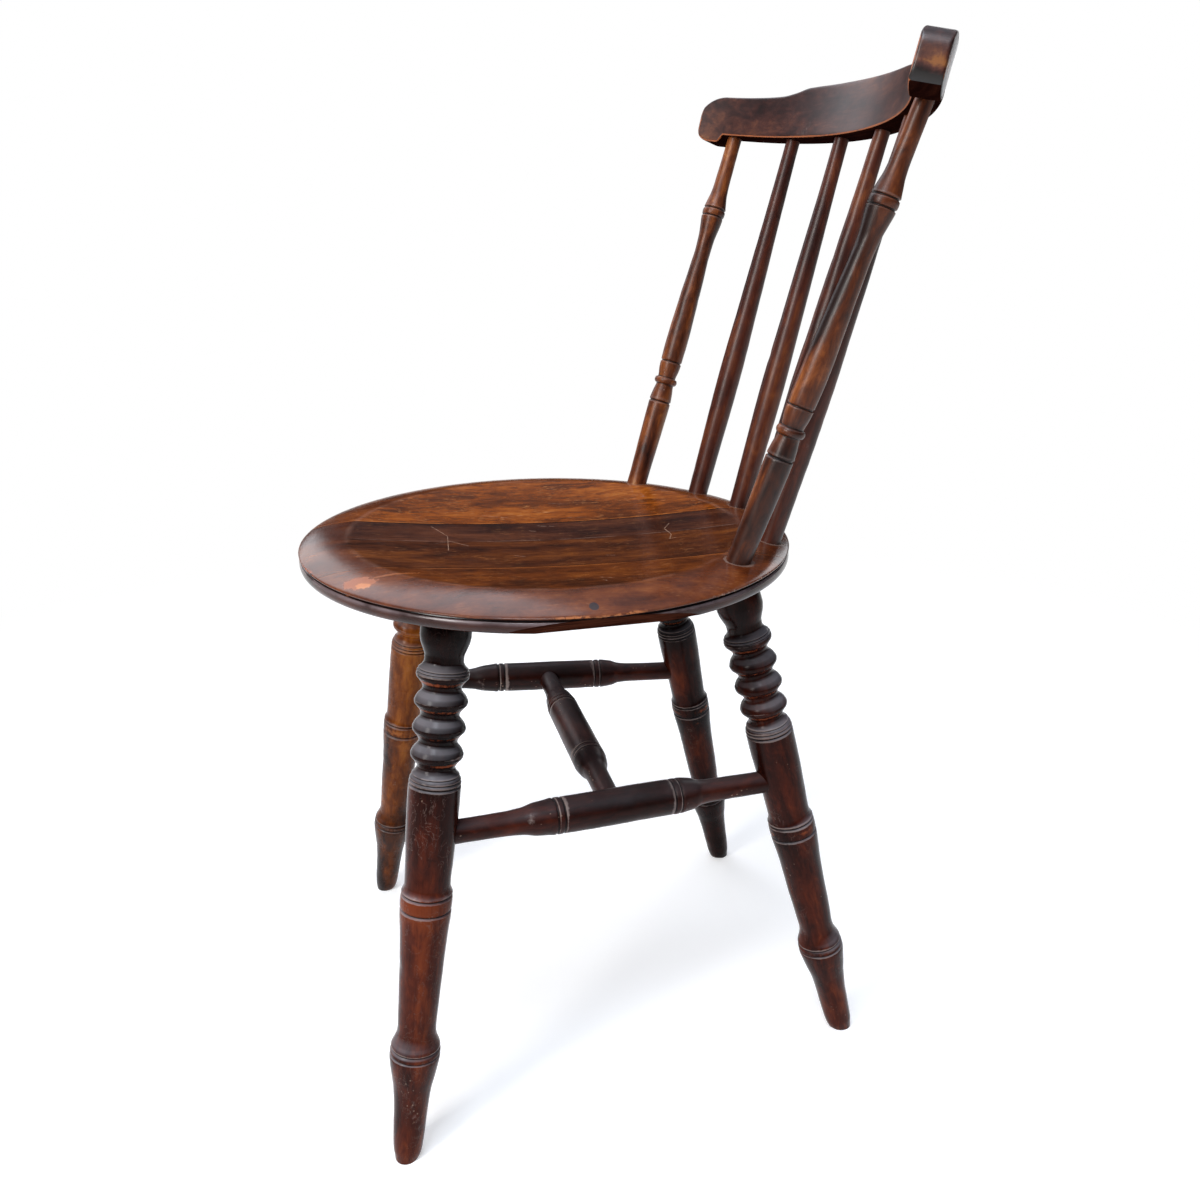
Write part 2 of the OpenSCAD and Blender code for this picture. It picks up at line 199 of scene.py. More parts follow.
def srgb(code):
    """Linear colour of a hex colour code."""
    parts = [int(code[i:i + 2], 16) / 255 for i in (1, 3, 5)]
    return tuple(c / 12.92 if c <= 0.04045 else ((c + 0.055) / 1.055) ** 2.4 for c in parts) + (1.0,)


class Look:
    """The shader nodes of one material or of the world."""

    def __init__(self, owner):
        owner.use_nodes = True
        self.owner = owner
        self.tree = owner.node_tree
        self.tree.nodes.clear()

    def add(self, kind, inputs=(), **settings):
        """A node with its settings, and its inputs as values or as links."""
        node = self.tree.nodes.new("ShaderNode" + kind)
        for key, value in settings.items():
            setattr(node, key, value)
        for key, value in dict(inputs).items():
            if isinstance(value, bpy.types.NodeSocket):
                self.tree.links.new(value, node.inputs[key])
            else:
                node.inputs[key].default_value = value
        return node

    def math(self, operation, a, b=0.0):
        return self.add("Math", {0: a, 1: b}, operation=operation).outputs[0]

    def stretch(self, scale, shift=(0, 0, 0)):
        """The piece's own coordinates in metres, times a scale per axis, plus a shift."""
        node = self.add("Mapping", {"Vector": self.place, "Scale": scale, "Location": shift})
        return node.outputs[0]

    def noise(self, scale, shift=(0, 0, 0), detail=3.0, rough=0.55, bend=0.0):
        node = self.add("TexNoise", {
            "Vector": self.stretch(scale, shift), "Scale": 1.0, "Detail": detail,
            "Roughness": rough, "Distortion": bend})
        return node.outputs["Fac"]

    def step(self, value, low, high, to_low=0.0, to_high=1.0):
        """A smooth step from to_low, where the value is low, to to_high, where it is high."""
        return self.add("MapRange", {
            "Value": value, "From Min": low, "From Max": high,
            "To Min": to_low, "To Max": to_high}, interpolation_type="SMOOTHSTEP").outputs[0]

    def mix(self, share, a, b):
        """Colour a with a share of colour b over it."""
        node = self.add("Mix", data_type="RGBA")
        for socket, value in ((node.inputs[0], share), (node.inputs[6], a), (node.inputs[7], b)):
            if isinstance(value, bpy.types.NodeSocket):
                self.tree.links.new(value, socket)
            else:
                socket.default_value = value
        return node.outputs[2]

    def ramp(self, value, stops):
        """Colour of a value among stops of a place and a hex code."""
        node = self.add("ValToRGB", {0: value})
        band = node.color_ramp
        while len(band.elements) < len(stops):
            band.elements.new(0.5)
        for element, (at, code) in zip(band.elements, stops):
            element.position = at
            element.color = srgb(code)
        return node.outputs[0]

    def attribute(self, name):
        """A number that the mesh carries at each point."""
        return self.add("Attribute", attribute_name=name).outputs["Fac"]

    def sway(self, value, amount):
        """A noise moved to swing round zero, times an amount."""
        return self.math("MULTIPLY", self.math("SUBTRACT", value, 0.5), amount)

    def total(self, *values):
        result = values[0]
        for value in values[1:]:
            result = self.math("ADD", result, value)
        return result

    def product(self, *values):
        result = values[0]
        for value in values[1:]:
            result = self.math("MULTIPLY", result, value)
        return result

    def axes(self, vector=None):
        node = self.add("SeparateXYZ", {0: self.place if vector is None else vector})
        return node.outputs["X"], node.outputs["Y"], node.outputs["Z"]

    def frame_at(self, centre, turn, size):
        """Coordinates in which a mark at a place in millimetres is one unit big."""
        node = self.add("Mapping", {
            "Vector": self.place, "Location": [c * MM for c in centre] + [0.0],
            "Rotation": (0, 0, turn), "Scale": [s * MM for s in size] + [1.0]}, vector_type="TEXTURE")
        return node.outputs[0]

    def stroke(self, a, b, width):
        """Mask of a thin straight mark between two places of the seat, in millimetres."""
        centre = ((a[0] + b[0]) / 2, (a[1] + b[1]) / 2)
        length = math.hypot(b[0] - a[0], b[1] - a[1])
        turn = math.atan2(b[1] - a[1], b[0] - a[0])
        x, y, _ = self.axes(self.frame_at(centre, turn, (length / 2, width / 2)))
        return self.product(self.step(self.math("ABSOLUTE", x), 1.1, 0.8),
                            self.step(self.math("ABSOLUTE", y), 1.3, 0.4))

    def spot(self, centre, turn, size, ragged, rough):
        """Mask of an oval mark with a ragged outline."""
        x, y, _ = self.axes(self.frame_at(centre, turn, size))
        reach = self.math("SQRT", self.total(self.product(x, x), self.product(y, y)))
        return self.step(self.total(reach, self.sway(ragged, rough)), 1.1, 0.85)


def wood_look(name):
    """A new material that is placed by the grain coordinates of its piece."""
    look = Look(bpy.data.materials.new(name))
    look.place = look.add("Attribute", attribute_name="grain").outputs["Vector"]
    return look


WOOD_IOR = 1.52


def along_grain(axis, across, along):
    """Scale of a pattern with one size across the grain and one along it, in millimetres."""
    return tuple(1 / ((along if own == axis else across) * MM) for own in "XYZ")


def evenly(size):
    """Scale of a pattern that has one size every way, in millimetres."""
    return (1 / (size * MM),) * 3


def polished_wood(name, axis, shades, seed, gloss=0.27, shine=0.12, figure=1.0, streak=0.3, cloud=0.7,
                  worn="#8a4426", pale=0.0, scuff=0.0, chips=0.0, dust_and_glint=0.45, painted_sheen=0.0, surface=None):
    """Stained hardwood under old shellac polish.

    The stain lies in broad figure, fine streaks with the grain and small clouds. Edges are
    rubbed to the paler wood, arrises carry a pale line that is part dust and part a painted
    glint of light, and grooves hold dark wax. Shoulders that look up can get a painted
    blue-grey sheen. The polish gives a soft, slightly uneven shine; gloss is its roughness
    and shine its strength.
    """
    look = wood_look(name)
    shift = (seed * 3.1, seed * 1.7, seed * 2.3)
    broad = look.noise(along_grain(axis, 30, 120), shift, 3, 0.55, 0.6)
    streaks = look.noise(along_grain(axis, 3.5, 60), shift, 3, 0.6, 0.5)
    clouds = look.noise(along_grain(axis, 9, 22), shift, 5, 0.65, 0.8)
    soft = look.noise(evenly(14.286), shift, 3, 0.5)
    ragged = look.noise(evenly(3.846), shift, 4, 0.65)
    patchy = look.noise(evenly(33.333), shift, 3, 0.55)
    body = look.total(look.attribute("tone"), 0.5, look.sway(broad, figure), look.sway(streaks, streak),
                      look.sway(clouds, cloud))
    colour = look.ramp(body, shades)
    # Fine pores: short dark dashes with the grain.
    pores = look.noise(along_grain(axis, 0.7, 9), shift, 2, 0.6)
    colour = look.mix(look.step(pores, 0.56, 0.74, 0.0, 0.35), colour, srgb("#0e0503"))
    # Pale flecks where the polish has worn off the open grain.
    if pale:
        dashes = look.noise(along_grain(axis, 0.9, 8), (seed, 3, 7), 1, 0.4)
        colour = look.mix(look.product(look.step(dashes, 0.63, 0.72), look.step(patchy, 0.42, 0.6), pale),
                          colour, srgb("#bf8250"))
    # Wear that shows the paler wood.
    wear = look.total(look.attribute("wear"), look.sway(ragged, 0.8), look.sway(patchy, 1.3))
    wear_mask = look.step(wear, 0.4, 0.75)
    colour = look.mix(look.product(wear_mask, 0.85), colour, srgb(worn))
    # Dark wax and grime in the grooves.
    dirt_mask = look.step(look.total(look.attribute("dirt"), look.sway(ragged, 0.4)), 0.25, 0.8)
    colour = look.mix(look.product(dirt_mask, 0.85), colour, srgb("#070303"))
    # Pale line on the sharp arrises: part dust, part a painted glint of light on the lip that looks up.
    lip = look.total(look.attribute("edge"), look.sway(ragged, 0.9), look.sway(patchy, 2.0))
    colour = look.mix(look.product(look.step(lip, 0.4, 0.85), dust_and_glint), colour, srgb("#a3928c"))
    if painted_sheen:
        # Painted sheen: shoulders that look up are lightened blue-grey, standing in for the reflection of the
        # bright sky above.
        rise = look.axes(look.add("NewGeometry").outputs["Normal"])[2]
        painted_sheen_mask = look.product(look.step(rise, 0.28, 0.9), look.step(patchy, 0.2, 0.6, 0.5, 1.0), painted_sheen)
        colour = look.mix(painted_sheen_mask, colour, srgb("#a3a0a6"))
    rough = look.total(gloss - 0.06, look.product(soft, 0.12), look.product(wear_mask, 0.12),
                       look.product(dirt_mask, 0.1))
    height = look.total(look.product(pores, -0.3), look.product(soft, 0.9), look.product(wear_mask, -0.3))
    # Small pale chips, one to a cell of about 3 by 5 mm, in patches.
    if chips:
        cells = look.add("TexVoronoi", {"Vector": look.stretch(along_grain(axis, 3.333, 4.545), shift),
                                        "Scale": 1.0, "Randomness": 1.0}).outputs["Distance"]
        where = look.noise(along_grain(axis, 26.316, 41.667), shift, 4, 0.65)
        chip = look.product(look.step(cells, 0.24, 0.12), look.step(where, 0.66 - chips, 0.72 - chips),
                            look.attribute("speck"))
        colour = look.mix(look.product(chip, 0.6), colour, srgb("#a98a78"))
        height = look.total(height, look.product(chip, -1.2))
    # Pale, wandering scuffs.
    if scuff:
        web = look.noise(along_grain(axis, 11.111, 16.667), (seed, 8, 1), 4, 0.6, 1.2)
        thread = look.step(look.math("ABSOLUTE", look.math("SUBTRACT", web, 0.5)), 0.012, 0.003)
        where = look.noise(along_grain(axis, 45.455, 71.429), (seed, 5, 9), 3, 0.6)
        thread = look.product(thread, look.step(where, 0.6 - scuff, 0.68 - scuff), look.attribute("speck"))
        colour = look.mix(look.product(thread, 0.36), colour, srgb("#77625a"))
    if surface:
        colour, height, rough = surface(look, colour, height, rough, ragged, patchy)
    bump = look.add("Bump", {"Height": height, "Strength": 0.22, "Distance": 0.4 * MM})
    shader = look.add("BsdfPrincipled", {
        "Base Color": colour, "Roughness": rough, "Normal": bump.outputs[0],
        "IOR": WOOD_IOR, "Specular IOR Level": shine})
    look.add("OutputMaterial", {"Surface": shader.outputs[0]})
    return look.owner


def bare_wood(name, axis, shades, seed):
    """Unpolished, stained undersides: dull, with open grain."""
    look = wood_look(name)
    shift = (seed * 3.1, seed * 1.7, seed * 2.3)
    grain = look.noise(along_grain(axis, 3, 60), shift, 3, 0.6, 0.4)
    blotch = look.noise(along_grain(axis, 20, 60), shift, 4, 0.6, 0.6)
    colour = look.ramp(look.total(0.5, look.sway(grain, 0.8), look.sway(blotch, 1.0)), shades)
    bump = look.add("Bump", {"Height": grain, "Strength": 0.3, "Distance": 0.4 * MM})
    shader = look.add("BsdfPrincipled", {
        "Base Color": colour, "Roughness": look.total(0.6, look.product(blotch, 0.2)),
        "Normal": bump.outputs[0], "IOR": WOOD_IOR, "Specular IOR Level": 0.0})
    look.add("OutputMaterial", {"Surface": shader.outputs[0]})
    return look.owner


# ---- Mesh helpers ----

def make_piece(name, verts, faces, matrix, attributes, material, sharp):
    """A piece from points in its own frame, in metres, with numbers for the look at each point."""
    mesh = bpy.data.meshes.new(name)
    own = np.asarray(verts, float)
    turn = np.array(matrix)
    mesh.from_pydata((own @ turn[:3, :3].T + turn[:3, 3]).tolist(), [], faces)
    mesh.update()
    grain = mesh.attributes.new("grain", "FLOAT_VECTOR", "POINT").data
    grain.foreach_set("vector", own.astype(np.float32).ravel())
    for key, values in attributes.items():
        data = mesh.attributes.new(key, "FLOAT", "POINT").data
        data.foreach_set("value", np.asarray(values, np.float32))
    for polygon in mesh.polygons:
        polygon.use_smooth = True
    mesh.set_sharp_from_angle(angle=math.radians(sharp))
    piece = bpy.data.objects.new(name, mesh)
    bpy.context.scene.collection.objects.link(piece)
    mesh.materials.append(material)
    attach(piece, "root")
    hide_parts(name)
    return piece


LOOKS_DOWN = -0.6


def add_underside(piece, material):
    """Give the faces that look down a second, unpolished material."""
    piece.data.materials.append(material)
    for polygon in piece.data.polygons:
        if polygon.normal.z < LOOKS_DOWN:
            polygon.material_index = 1


def axis_matrix(a, b, facing):
    """Frame at a with its Z towards b and its X as near as can be to facing, in millimetres."""
    z = (b - a).normalized()
    y = z.cross(facing).normalized()
    x = y.cross(z)
    return Matrix(((x.x, y.x, z.x, a.x), (x.y, y.y, z.y, a.y), (x.z, y.z, z.z, a.z), (0, 0, 0, 1)))


def monotone_cubic(points, s):
    """Values at s of a cubic through the points that never overshoots them."""
    xs, ys = np.array(points, float).T
    h = np.diff(xs)
    d = np.diff(ys) / h
    m = np.zeros(len(xs))
    m[0], m[-1] = d[0], d[-1]
    for i in range(1, len(xs) - 1):
        if d[i - 1] * d[i] > 0:
            w1, w2 = 2 * h[i] + h[i - 1], h[i] + 2 * h[i - 1]
            m[i] = (w1 + w2) / (w1 / d[i - 1] + w2 / d[i])
    k = np.clip(np.searchsorted(xs, s, "right") - 1, 0, len(h) - 1)
    t = (s - xs[k]) / h[k]
    return ((1 + 2 * t) * (1 - t) ** 2 * ys[k] + t * (1 - t) ** 2 * h[k] * m[k]
            + t * t * (3 - 2 * t) * ys[k + 1] + t * t * (t - 1) * h[k] * m[k + 1])


PROFILE_STEP = 0.4
PROFILE_ERROR = 0.012
PROFILE_GAP = 4.0


def smooth_profile(points):
    """Stations and radii of a turned profile, thinned where it is straight."""
    xs = np.array(points, float)[:, 0]
    s = np.unique(np.concatenate([xs, np.arange(xs[0], xs[-1], PROFILE_STEP)]))
    r = monotone_cubic(points, s)
    keep = [0]
    for i in range(1, len(s) - 1):
        a, b = keep[-1], i + 1
        line = r[a] + (r[b] - r[a]) * (s[a:b + 1] - s[a]) / (s[b] - s[a])
        if np.abs(line - r[a:b + 1]).max() > PROFILE_ERROR or s[b] - s[a] > PROFILE_GAP:
            keep.append(i)
    keep.append(len(s) - 1)
    return s[keep], r[keep]


def groove(at, radius, width=2.4, depth=0.9):
    """A narrow turned groove with a rounded bottom."""
    return [(at - width / 2, radius), (at - width * 0.2, radius - depth * 0.75), (at, radius - depth),
            (at + width * 0.2, radius - depth * 0.75), (at + width / 2, radius)]


def local_mean(s, r, window):
    """Mean radius within a window round each station."""
    step = 0.25
    values = np.interp(np.arange(s[0], s[-1], step), s, r)
    total = np.concatenate([[0], np.cumsum(values)])
    low = np.clip(((s - window - s[0]) / step).astype(int), 0, len(values) - 1)
    high = np.clip(((s + window - s[0]) / step).astype(int) + 1, 1, len(values))
    return (total[high] - total[low]) / (high - low)


def ripple(angle, along, seed, waves, reach):
    """Smooth random unevenness from a few waves round and along a piece."""
    rng = np.random.default_rng(seed)
    total = np.zeros(np.broadcast(angle, along).shape)
    for _ in range(waves):
        turns = rng.integers(0, 4)
        total = total + rng.normal() * np.sin(
            turns * angle + along * rng.uniform(0.3, 1.0) * 2 * np.pi / reach + rng.uniform(0, 6.28))
    return total / math.sqrt(waves)


def turned_surface(s, r, sides, seed, dents):
    """Points of a turned surface, row by row, a little uneven and dented; their stations and angles."""
    angle = np.linspace(0, 2 * np.pi, sides, endpoint=False)
    along, around = np.meshgrid(s, angle, indexing="ij")
    radius = np.repeat(r[:, None], sides, 1)
    radius = radius + 0.10 * ripple(around, along, seed, 6, 60)
    radius = radius + 0.05 * ripple(around, along, seed + 1, 8, 14)
    rng = np.random.default_rng(seed + 2)
    for _ in range(dents):
        at = rng.uniform(s[0], s[-1])
        turn = rng.uniform(0, 2 * np.pi)
        size = rng.uniform(1.2, 3.0)
        here = np.interp(at, s, r)
        gap = np.angle(np.exp(1j * (around - turn))) * here
        depth = rng.uniform(0.15, 0.5)
        radius = radius - depth * np.exp(-((along - at) ** 2 + gap ** 2) / (2 * size * size))
    wobble = 0.15 * ripple(np.zeros(1), s, seed + 3, 3, 180)
    x = radius * np.cos(around) + wobble[:, None]
    y = radius * np.sin(around) + 0.7 * wobble[::-1, None]
    return np.stack([x, y, along], -1), along, around


def tube_faces(rows, sides):
    """Quads between the rows of a turned surface, and a fan over each end."""
    index = np.arange(rows * sides).reshape(rows, sides).tolist()
    faces = []
    for lower, upper in zip(index, index[1:]):
        for j in range(sides):
            k = (j + 1) % sides
            faces.append((lower[j], lower[k], upper[k], upper[j]))
    for j in range(sides):
        k = (j + 1) % sides
        faces.append((rows * sides, index[0][k], index[0][j]))
        faces.append((rows * sides + 1, index[-1][j], index[-1][k]))
    return faces


def turned_marks(s, r, tones, rubbed, speck, lips):
    """Wear, dirt, pale lips (dust and a painted glint), tone and specks of a turned piece at each station."""
    wear = np.clip((r - local_mean(s, r, 6.0)) * 0.12, 0, 0.3)
    for at, reach, amount in rubbed:
        wear = wear + amount * np.exp(-((s - at) / reach) ** 2)
    fine = r - local_mean(s, r, 1.3)
    # A pale line, part dust and part a painted glint of the light from above, on the lip that looks up; on a
    # lying piece, on the outer lips of its grooves.
    ahead = np.interp(s + 1.0, s, r)
    if lips == "out":
        ahead = np.where(s > s.mean(), ahead, np.interp(s - 1.0, s, r))
    return {
        "wear": np.clip(wear, 0, 1),
        "dirt": np.clip(-fine * 2.2, 0, 0.8),
        "edge": np.clip(fine * 4.5, 0, 1) * (ahead < r - 0.12),
        "tone": np.interp(s, *zip(*tones)),
        "speck": np.interp(s, *zip(*speck)),
    }


def turned(name, a, b, points, material, seed, facing=Vector((1, 0, 0)), cut_low=None, cut_high=None,
           dents=0, tones=((0, 0.0),), sides=80, rubbed=(), speck=((0, 1.0),), lips="up", streak=None):
    """A turned piece on the axis from a to b, cut flat at the heights cut_low and cut_high."""
    s, r = smooth_profile(points)
    matrix = axis_matrix(a, b, facing)
    verts, along, around = turned_surface(s, r, sides, seed, dents)
    up = np.array(matrix)[2, :3]
    for row, height in ((0, cut_low), (-1, cut_high)):
        if height is not None:
            verts[row, :, 2] += (height - verts[row] @ up - matrix[2][3]) / up[2]
    ends = np.stack([verts[0].mean(0), verts[-1].mean(0)])
    marks = {key: np.concatenate([np.repeat(row, sides), [row[0], row[-1]]])
             for key, row in turned_marks(s, r, tones, rubbed, speck, lips).items()}
    if streak:
        # A long dark run of old polish down one side.
        low, high, side, width, depth = streak
        away = np.angle(np.exp(1j * (around - math.radians(side)))) / math.radians(width)
        share = np.clip(np.minimum(along - low, high - along) / 14 + 0.5, 0, 1)
        marks["tone"][:along.size] += (depth * share * np.exp(-away ** 2)).ravel()
    place = matrix.copy()
    place.translation = world(matrix.translation)
    points = np.concatenate([verts.reshape(-1, 3), ends]) * MM
    make_piece(name, points, tube_faces(len(s), sides), place, marks, material, sharp=50)


# ---- Legs ----

# The collar under the rings is at one place on every leg, measured from the foot.
COLLAR = (front_leg_ends("left")[1] - front_leg_ends("left")[0]).length - REEL_AT - 4 * REEL_PITCH


def leg_profile(length):
    """Foot, ankle ring, shaft, knee ring, collar, four rings and the bulb in the seat."""
    points = [(0, FOOT_R - 1.2), (3.4, FOOT_R - 0.2), (8, FOOT_R + 0.7), (20, FOOT_R + 1.6),
              (45, FOOT_R + 2.8), (61, FOOT_R + 4.4), (74, FOOT_R + 6.8), (84, LEG_R - 0.5), (88.5, LEG_R)]
    points += groove(ANKLE - 2.0, LEG_R - 0.1, 2.2, 0.8)
    points += [(ANKLE + 0.4, LEG_R - 0.1)] + groove(ANKLE + 3.0, LEG_R - 0.6, 2.2, 0.8)
    points += [(ANKLE + 6.5, LEG_R - 1.2), (102, 17.0), (109, 14.9), (114, 14.6), (125, 15.1),
               (149, 16.1), (173, 17.0), (185, 17.6), (197, 18.5), (205, 19.2)]
    points += groove(KNEE - 4, LEG_R - 0.05, 3.0, 1.2)
    points += [(KNEE - 1.6, LEG_R + 0.1), (KNEE + 2, LEG_R + 0.2), (KNEE + 5.6, LEG_R + 0.05)]
    points += groove(KNEE + 8, LEG_R - 0.1, 3.0, 1.2)
    points += [(KNEE + 11.5, 18.3), (KNEE + 16, 17.3), (KNEE + 34, 17.8), (COLLAR - 36, 18.9),
               (COLLAR - 12, LEG_R), (COLLAR - 5.4, LEG_R)]
    points += groove(COLLAR - 3.9, LEG_R - 0.3, 1.8, 0.7)
    points += [(COLLAR - 2.0, LEG_R - 0.1)] + groove(COLLAR - 0.4, LEG_R - 0.5, 1.6, 0.7)
    points += [(COLLAR + 1.6, 18.4)] + groove(COLLAR + 3.2, 17.6, 1.2, 0.5)
    points += [(COLLAR + 5.2, 16.3), (COLLAR + 7.4, 14.8), (COLLAR + 10, NECK_R)]
    for ring in range(4):
        crest = COLLAR + REEL_PITCH * (ring + 1) - 1
        points += [(crest - 8.0, 14.4), (crest - 5.6, 15.8), (crest - 3.6, 17.4), (crest - 2.7, 17.9),
                   (crest - 2.2, 18.7), (crest - 1.2, LEG_R - 0.25), (crest + 0.4, LEG_R)]
        if ring == 3:
            points += groove(crest + 2.2, LEG_R - 0.35, 1.2, 0.45) + [(crest + 3.1, LEG_R - 0.8)]
            points += groove(crest + 4.0, LEG_R - 1.25, 1.2, 0.45)
            points += [(crest + 5.4, 17.2), (crest + 7.6, 15.4), (crest + 10.4, 14.2)]
        else:
            points += [(crest + 2.2, LEG_R - 0.6), (crest + 4.4, 17.7), (crest + 6.4, 16.0),
                       (crest + 8.4, 14.5), (crest + 10.2, NECK_R)]
    top = COLLAR + 4 * REEL_PITCH
    points += [(top + 13.2, 14.3), (top + 18, 15.8), (top + 23.5, 17.7), (top + 29, 18.5), (top + 34, 18.4),
               (length - 4.2, 16.8), (length, 15.6)]
    return points


# How much lighter or darker each leg is up its length, by the distance from the foot.
LEG_TONES = {
    "front_left_leg": ((0, 0.2), (60, 0.1), (120, 0.12), (200, 0.16), (212, 0.3), (222, 0.3), (230, 0.0),
                       (300, 0.02), (316, -0.2), (395, -0.25), (436, -0.5)),
    "front_right_leg": ((0, -0.25), (80, -0.2), (140, -0.05), (210, 0.0), (225, 0.08), (260, 0.2),
                        (310, 0.2), (330, 0.1), (436, -0.1)),
    "rear_left_leg": ((0, 0.2), (90, 0.12), (200, 0.05), (300, 0.0), (436, -0.1)),
    "rear_right_leg": ((0, -0.15), (100, -0.05), (180, 0.0), (205, -0.35), (250, 0.0), (290, -0.05),
                       (316, -0.45), (436, -0.45)),
}
LEG_SPECKS = ((0, 0.8), (180, 0.7), (230, 1.0), (300, 1.0), (318, 0.25), (436, 0.2))


def make_legs(materials):
    rubbed = [(COLLAR + REEL_PITCH * (ring + 1) - 5.8, 1.7, 0.68) for ring in range(4)]
    rubbed += [(KNEE + 2, 3.6, 0.48), (KNEE - 14, 8, 0.36), (ANKLE, 5, 0.25), (0, 4, 0.3)]
    for name, ends, seed in (
        ("front_left_leg", front_leg_ends("left"), 11), ("front_right_leg", front_leg_ends("right"), 12),
        ("rear_left_leg", rear_leg_ends("left"), 13), ("rear_right_leg", rear_leg_ends("right"), 14),
    ):
        foot, top = ends
        turned(name, foot, top, leg_profile((top - foot).length), materials[name], seed,
               cut_low=0.0, cut_high=UNDER_H + LEG_INTO_SEAT, dents=26, tones=LEG_TONES[name],
               rubbed=rubbed, speck=LEG_SPECKS)


# ---- Stretchers ----

STRETCHER_BAND = 98.0
LONG_FLARE = 30.0
SHORT_FLARE = 19.0


def stretcher_profile(length, end):
    """From end to end: thin, a long flare, the thick middle with two double grooves, a short flare, thin."""
    half = length / 2
    low, high = half - STRETCHER_BAND / 2, half + STRETCHER_BAND / 2
    near, far = low - 10 - LONG_FLARE, high + 10 + SHORT_FLARE
    points = [(end, STRETCHER_END_R), (end + 12, STRETCHER_END_R - 0.05),
              (near - 4, STRETCHER_END_R + 0.15),
              (near + LONG_FLARE * 0.35, STRETCHER_END_R + 1.1),
              (near + LONG_FLARE * 0.7, STRETCHER_END_R + 3.4),
              (low - 9, STRETCHER_R - 0.5), (low - 5, STRETCHER_R)]
    points += groove(low - 2.9, STRETCHER_R, 2.4, 1.0) + [(low, STRETCHER_R + 0.1)]
    points += groove(low + 2.9, STRETCHER_R, 2.4, 1.0)
    points += [(low + 6, STRETCHER_R), (half, STRETCHER_R + 0.15), (high - 6, STRETCHER_R)]
    points += groove(high - 2.9, STRETCHER_R, 2.4, 1.0) + [(high, STRETCHER_R + 0.1)]
    points += groove(high + 2.9, STRETCHER_R, 2.4, 1.0)
    points += [(high + 5, STRETCHER_R), (high + 9, STRETCHER_R - 0.5),
               (far - SHORT_FLARE * 0.7, STRETCHER_END_R + 3.4),
               (far - SHORT_FLARE * 0.35, STRETCHER_END_R + 1.1), (far + 4, STRETCHER_END_R + 0.15),
               (length - end - 12, STRETCHER_END_R - 0.05), (length - end, STRETCHER_END_R)]
    return points


def make_stretchers(materials):
    up = Vector((0, 0, 1))
    for name, a, b, end, dents, seed in (
        ("left_side_stretcher", *side_ends("left"), 10.0, 18, 21),
        ("right_side_stretcher", *side_ends("right"), 10.0, 18, 22),
        ("middle_stretcher", side_middle("right"), side_middle("left"), 6.0, 12, 23),
    ):
        turned(name, a, b, stretcher_profile((b - a).length, end), materials[name], seed, up,
               dents=dents, sides=64, lips="out")


# ---- Back posts and spindles ----

def post_profile(length):
    """Foot, groove, bead, groove, a long swell, the double ring and a slender top."""
    ring = length - POST_RING
    points = [(0, POST_FOOT_R + 0.1), (6, POST_FOOT_R), (40, POST_R - 0.5), (62, POST_R - 0.1), (75, POST_R)]
    points += groove(80.5, POST_R, 2.4, 1.1)
    points += [(84.5, POST_R - 0.3), (89.5, POST_R - 0.9), (95, POST_R - 1.9), (97.1, POST_R - 2.1)]
    points += [(98.1, POST_R - 0.4), (100.5, POST_R + 0.4), (102.9, POST_R - 0.4), (103.9, POST_R - 2.1)]
    points += [(106, POST_R - 1.9), (111.5, POST_R - 0.9), (116, POST_R - 0.5)]
    points += groove(119, POST_R - 0.4, 2.4, 1.1)
    points += [(123.5, POST_R - 0.3), (135, POST_R), (150, POST_R - 0.15), (166, POST_R - 0.8),
               (190, POST_R - 1.7), (ring - 50, POST_TOP_R + 1.4), (ring - 36, POST_TOP_R + 0.9),
               (ring - 24, POST_TOP_R + 1.3),
               (ring - 13, POST_TOP_R + 2.7), (ring - 6.5, POST_R - 0.3)]
    points += groove(ring - 3.4, POST_R - 0.1, 2.0, 1.1)
    points += [(ring, POST_R + 0.15)]
    points += groove(ring + 3.4, POST_R - 0.2, 2.0, 1.1)
    points += [(ring + 6.5, POST_R - 0.7), (ring + 11, POST_TOP_R + 2.4), (ring + 17, POST_TOP_R + 1.2),
               (ring + 26, POST_TOP_R + 0.5), (length - 20, POST_TOP_R + 0.1),
               (length + HEAD_IN_RAIL, POST_TOP_R - 0.1)]
    return points


def spindle_profile(length):
    return [(0, SPINDLE_FOOT_R), (length * 0.12, SPINDLE_FOOT_R + 0.45), (length * 0.34, SPINDLE_R),
            (length * 0.52, SPINDLE_R - 1.1), (length * 0.72, SPINDLE_TOP_R + 1.6),
            (length * 0.9, SPINDLE_TOP_R + 0.4), (length + HEAD_IN_RAIL, SPINDLE_TOP_R)]


def make_posts(materials):
    rubbed = ((98, 2, 0.25), (125, 6, 0.25), (150, 20, 0.12), (20, 12, 0.1))
    for name, side, seed, low_tone, streak in (("left_back_post", 1, 31, 0.0, (160, 262, -72, 24, -0.55)),
                                               ("right_back_post", -1, 32, 0.22, (0, 60, 0, 20, -0.25))):
        foot = polar(POST_FOOT_AT, POST_ANGLE * side, SEAT_H)
        head = rail_seat(POST_HEAD_ANGLE * side)
        tones = ((0, low_tone - 0.1), (40, low_tone), (75, low_tone - 0.05), (95, 0.12), (150, 0.08),
                 (190, -0.05), (230, -0.05), (250, -0.15), (300, -0.1))
        turned(name, foot, head, post_profile((head - foot).length), materials[name], seed,
               cut_low=SEAT_H - POST_TENON, dents=14, sides=64, streak=streak, tones=tones, rubbed=rubbed)


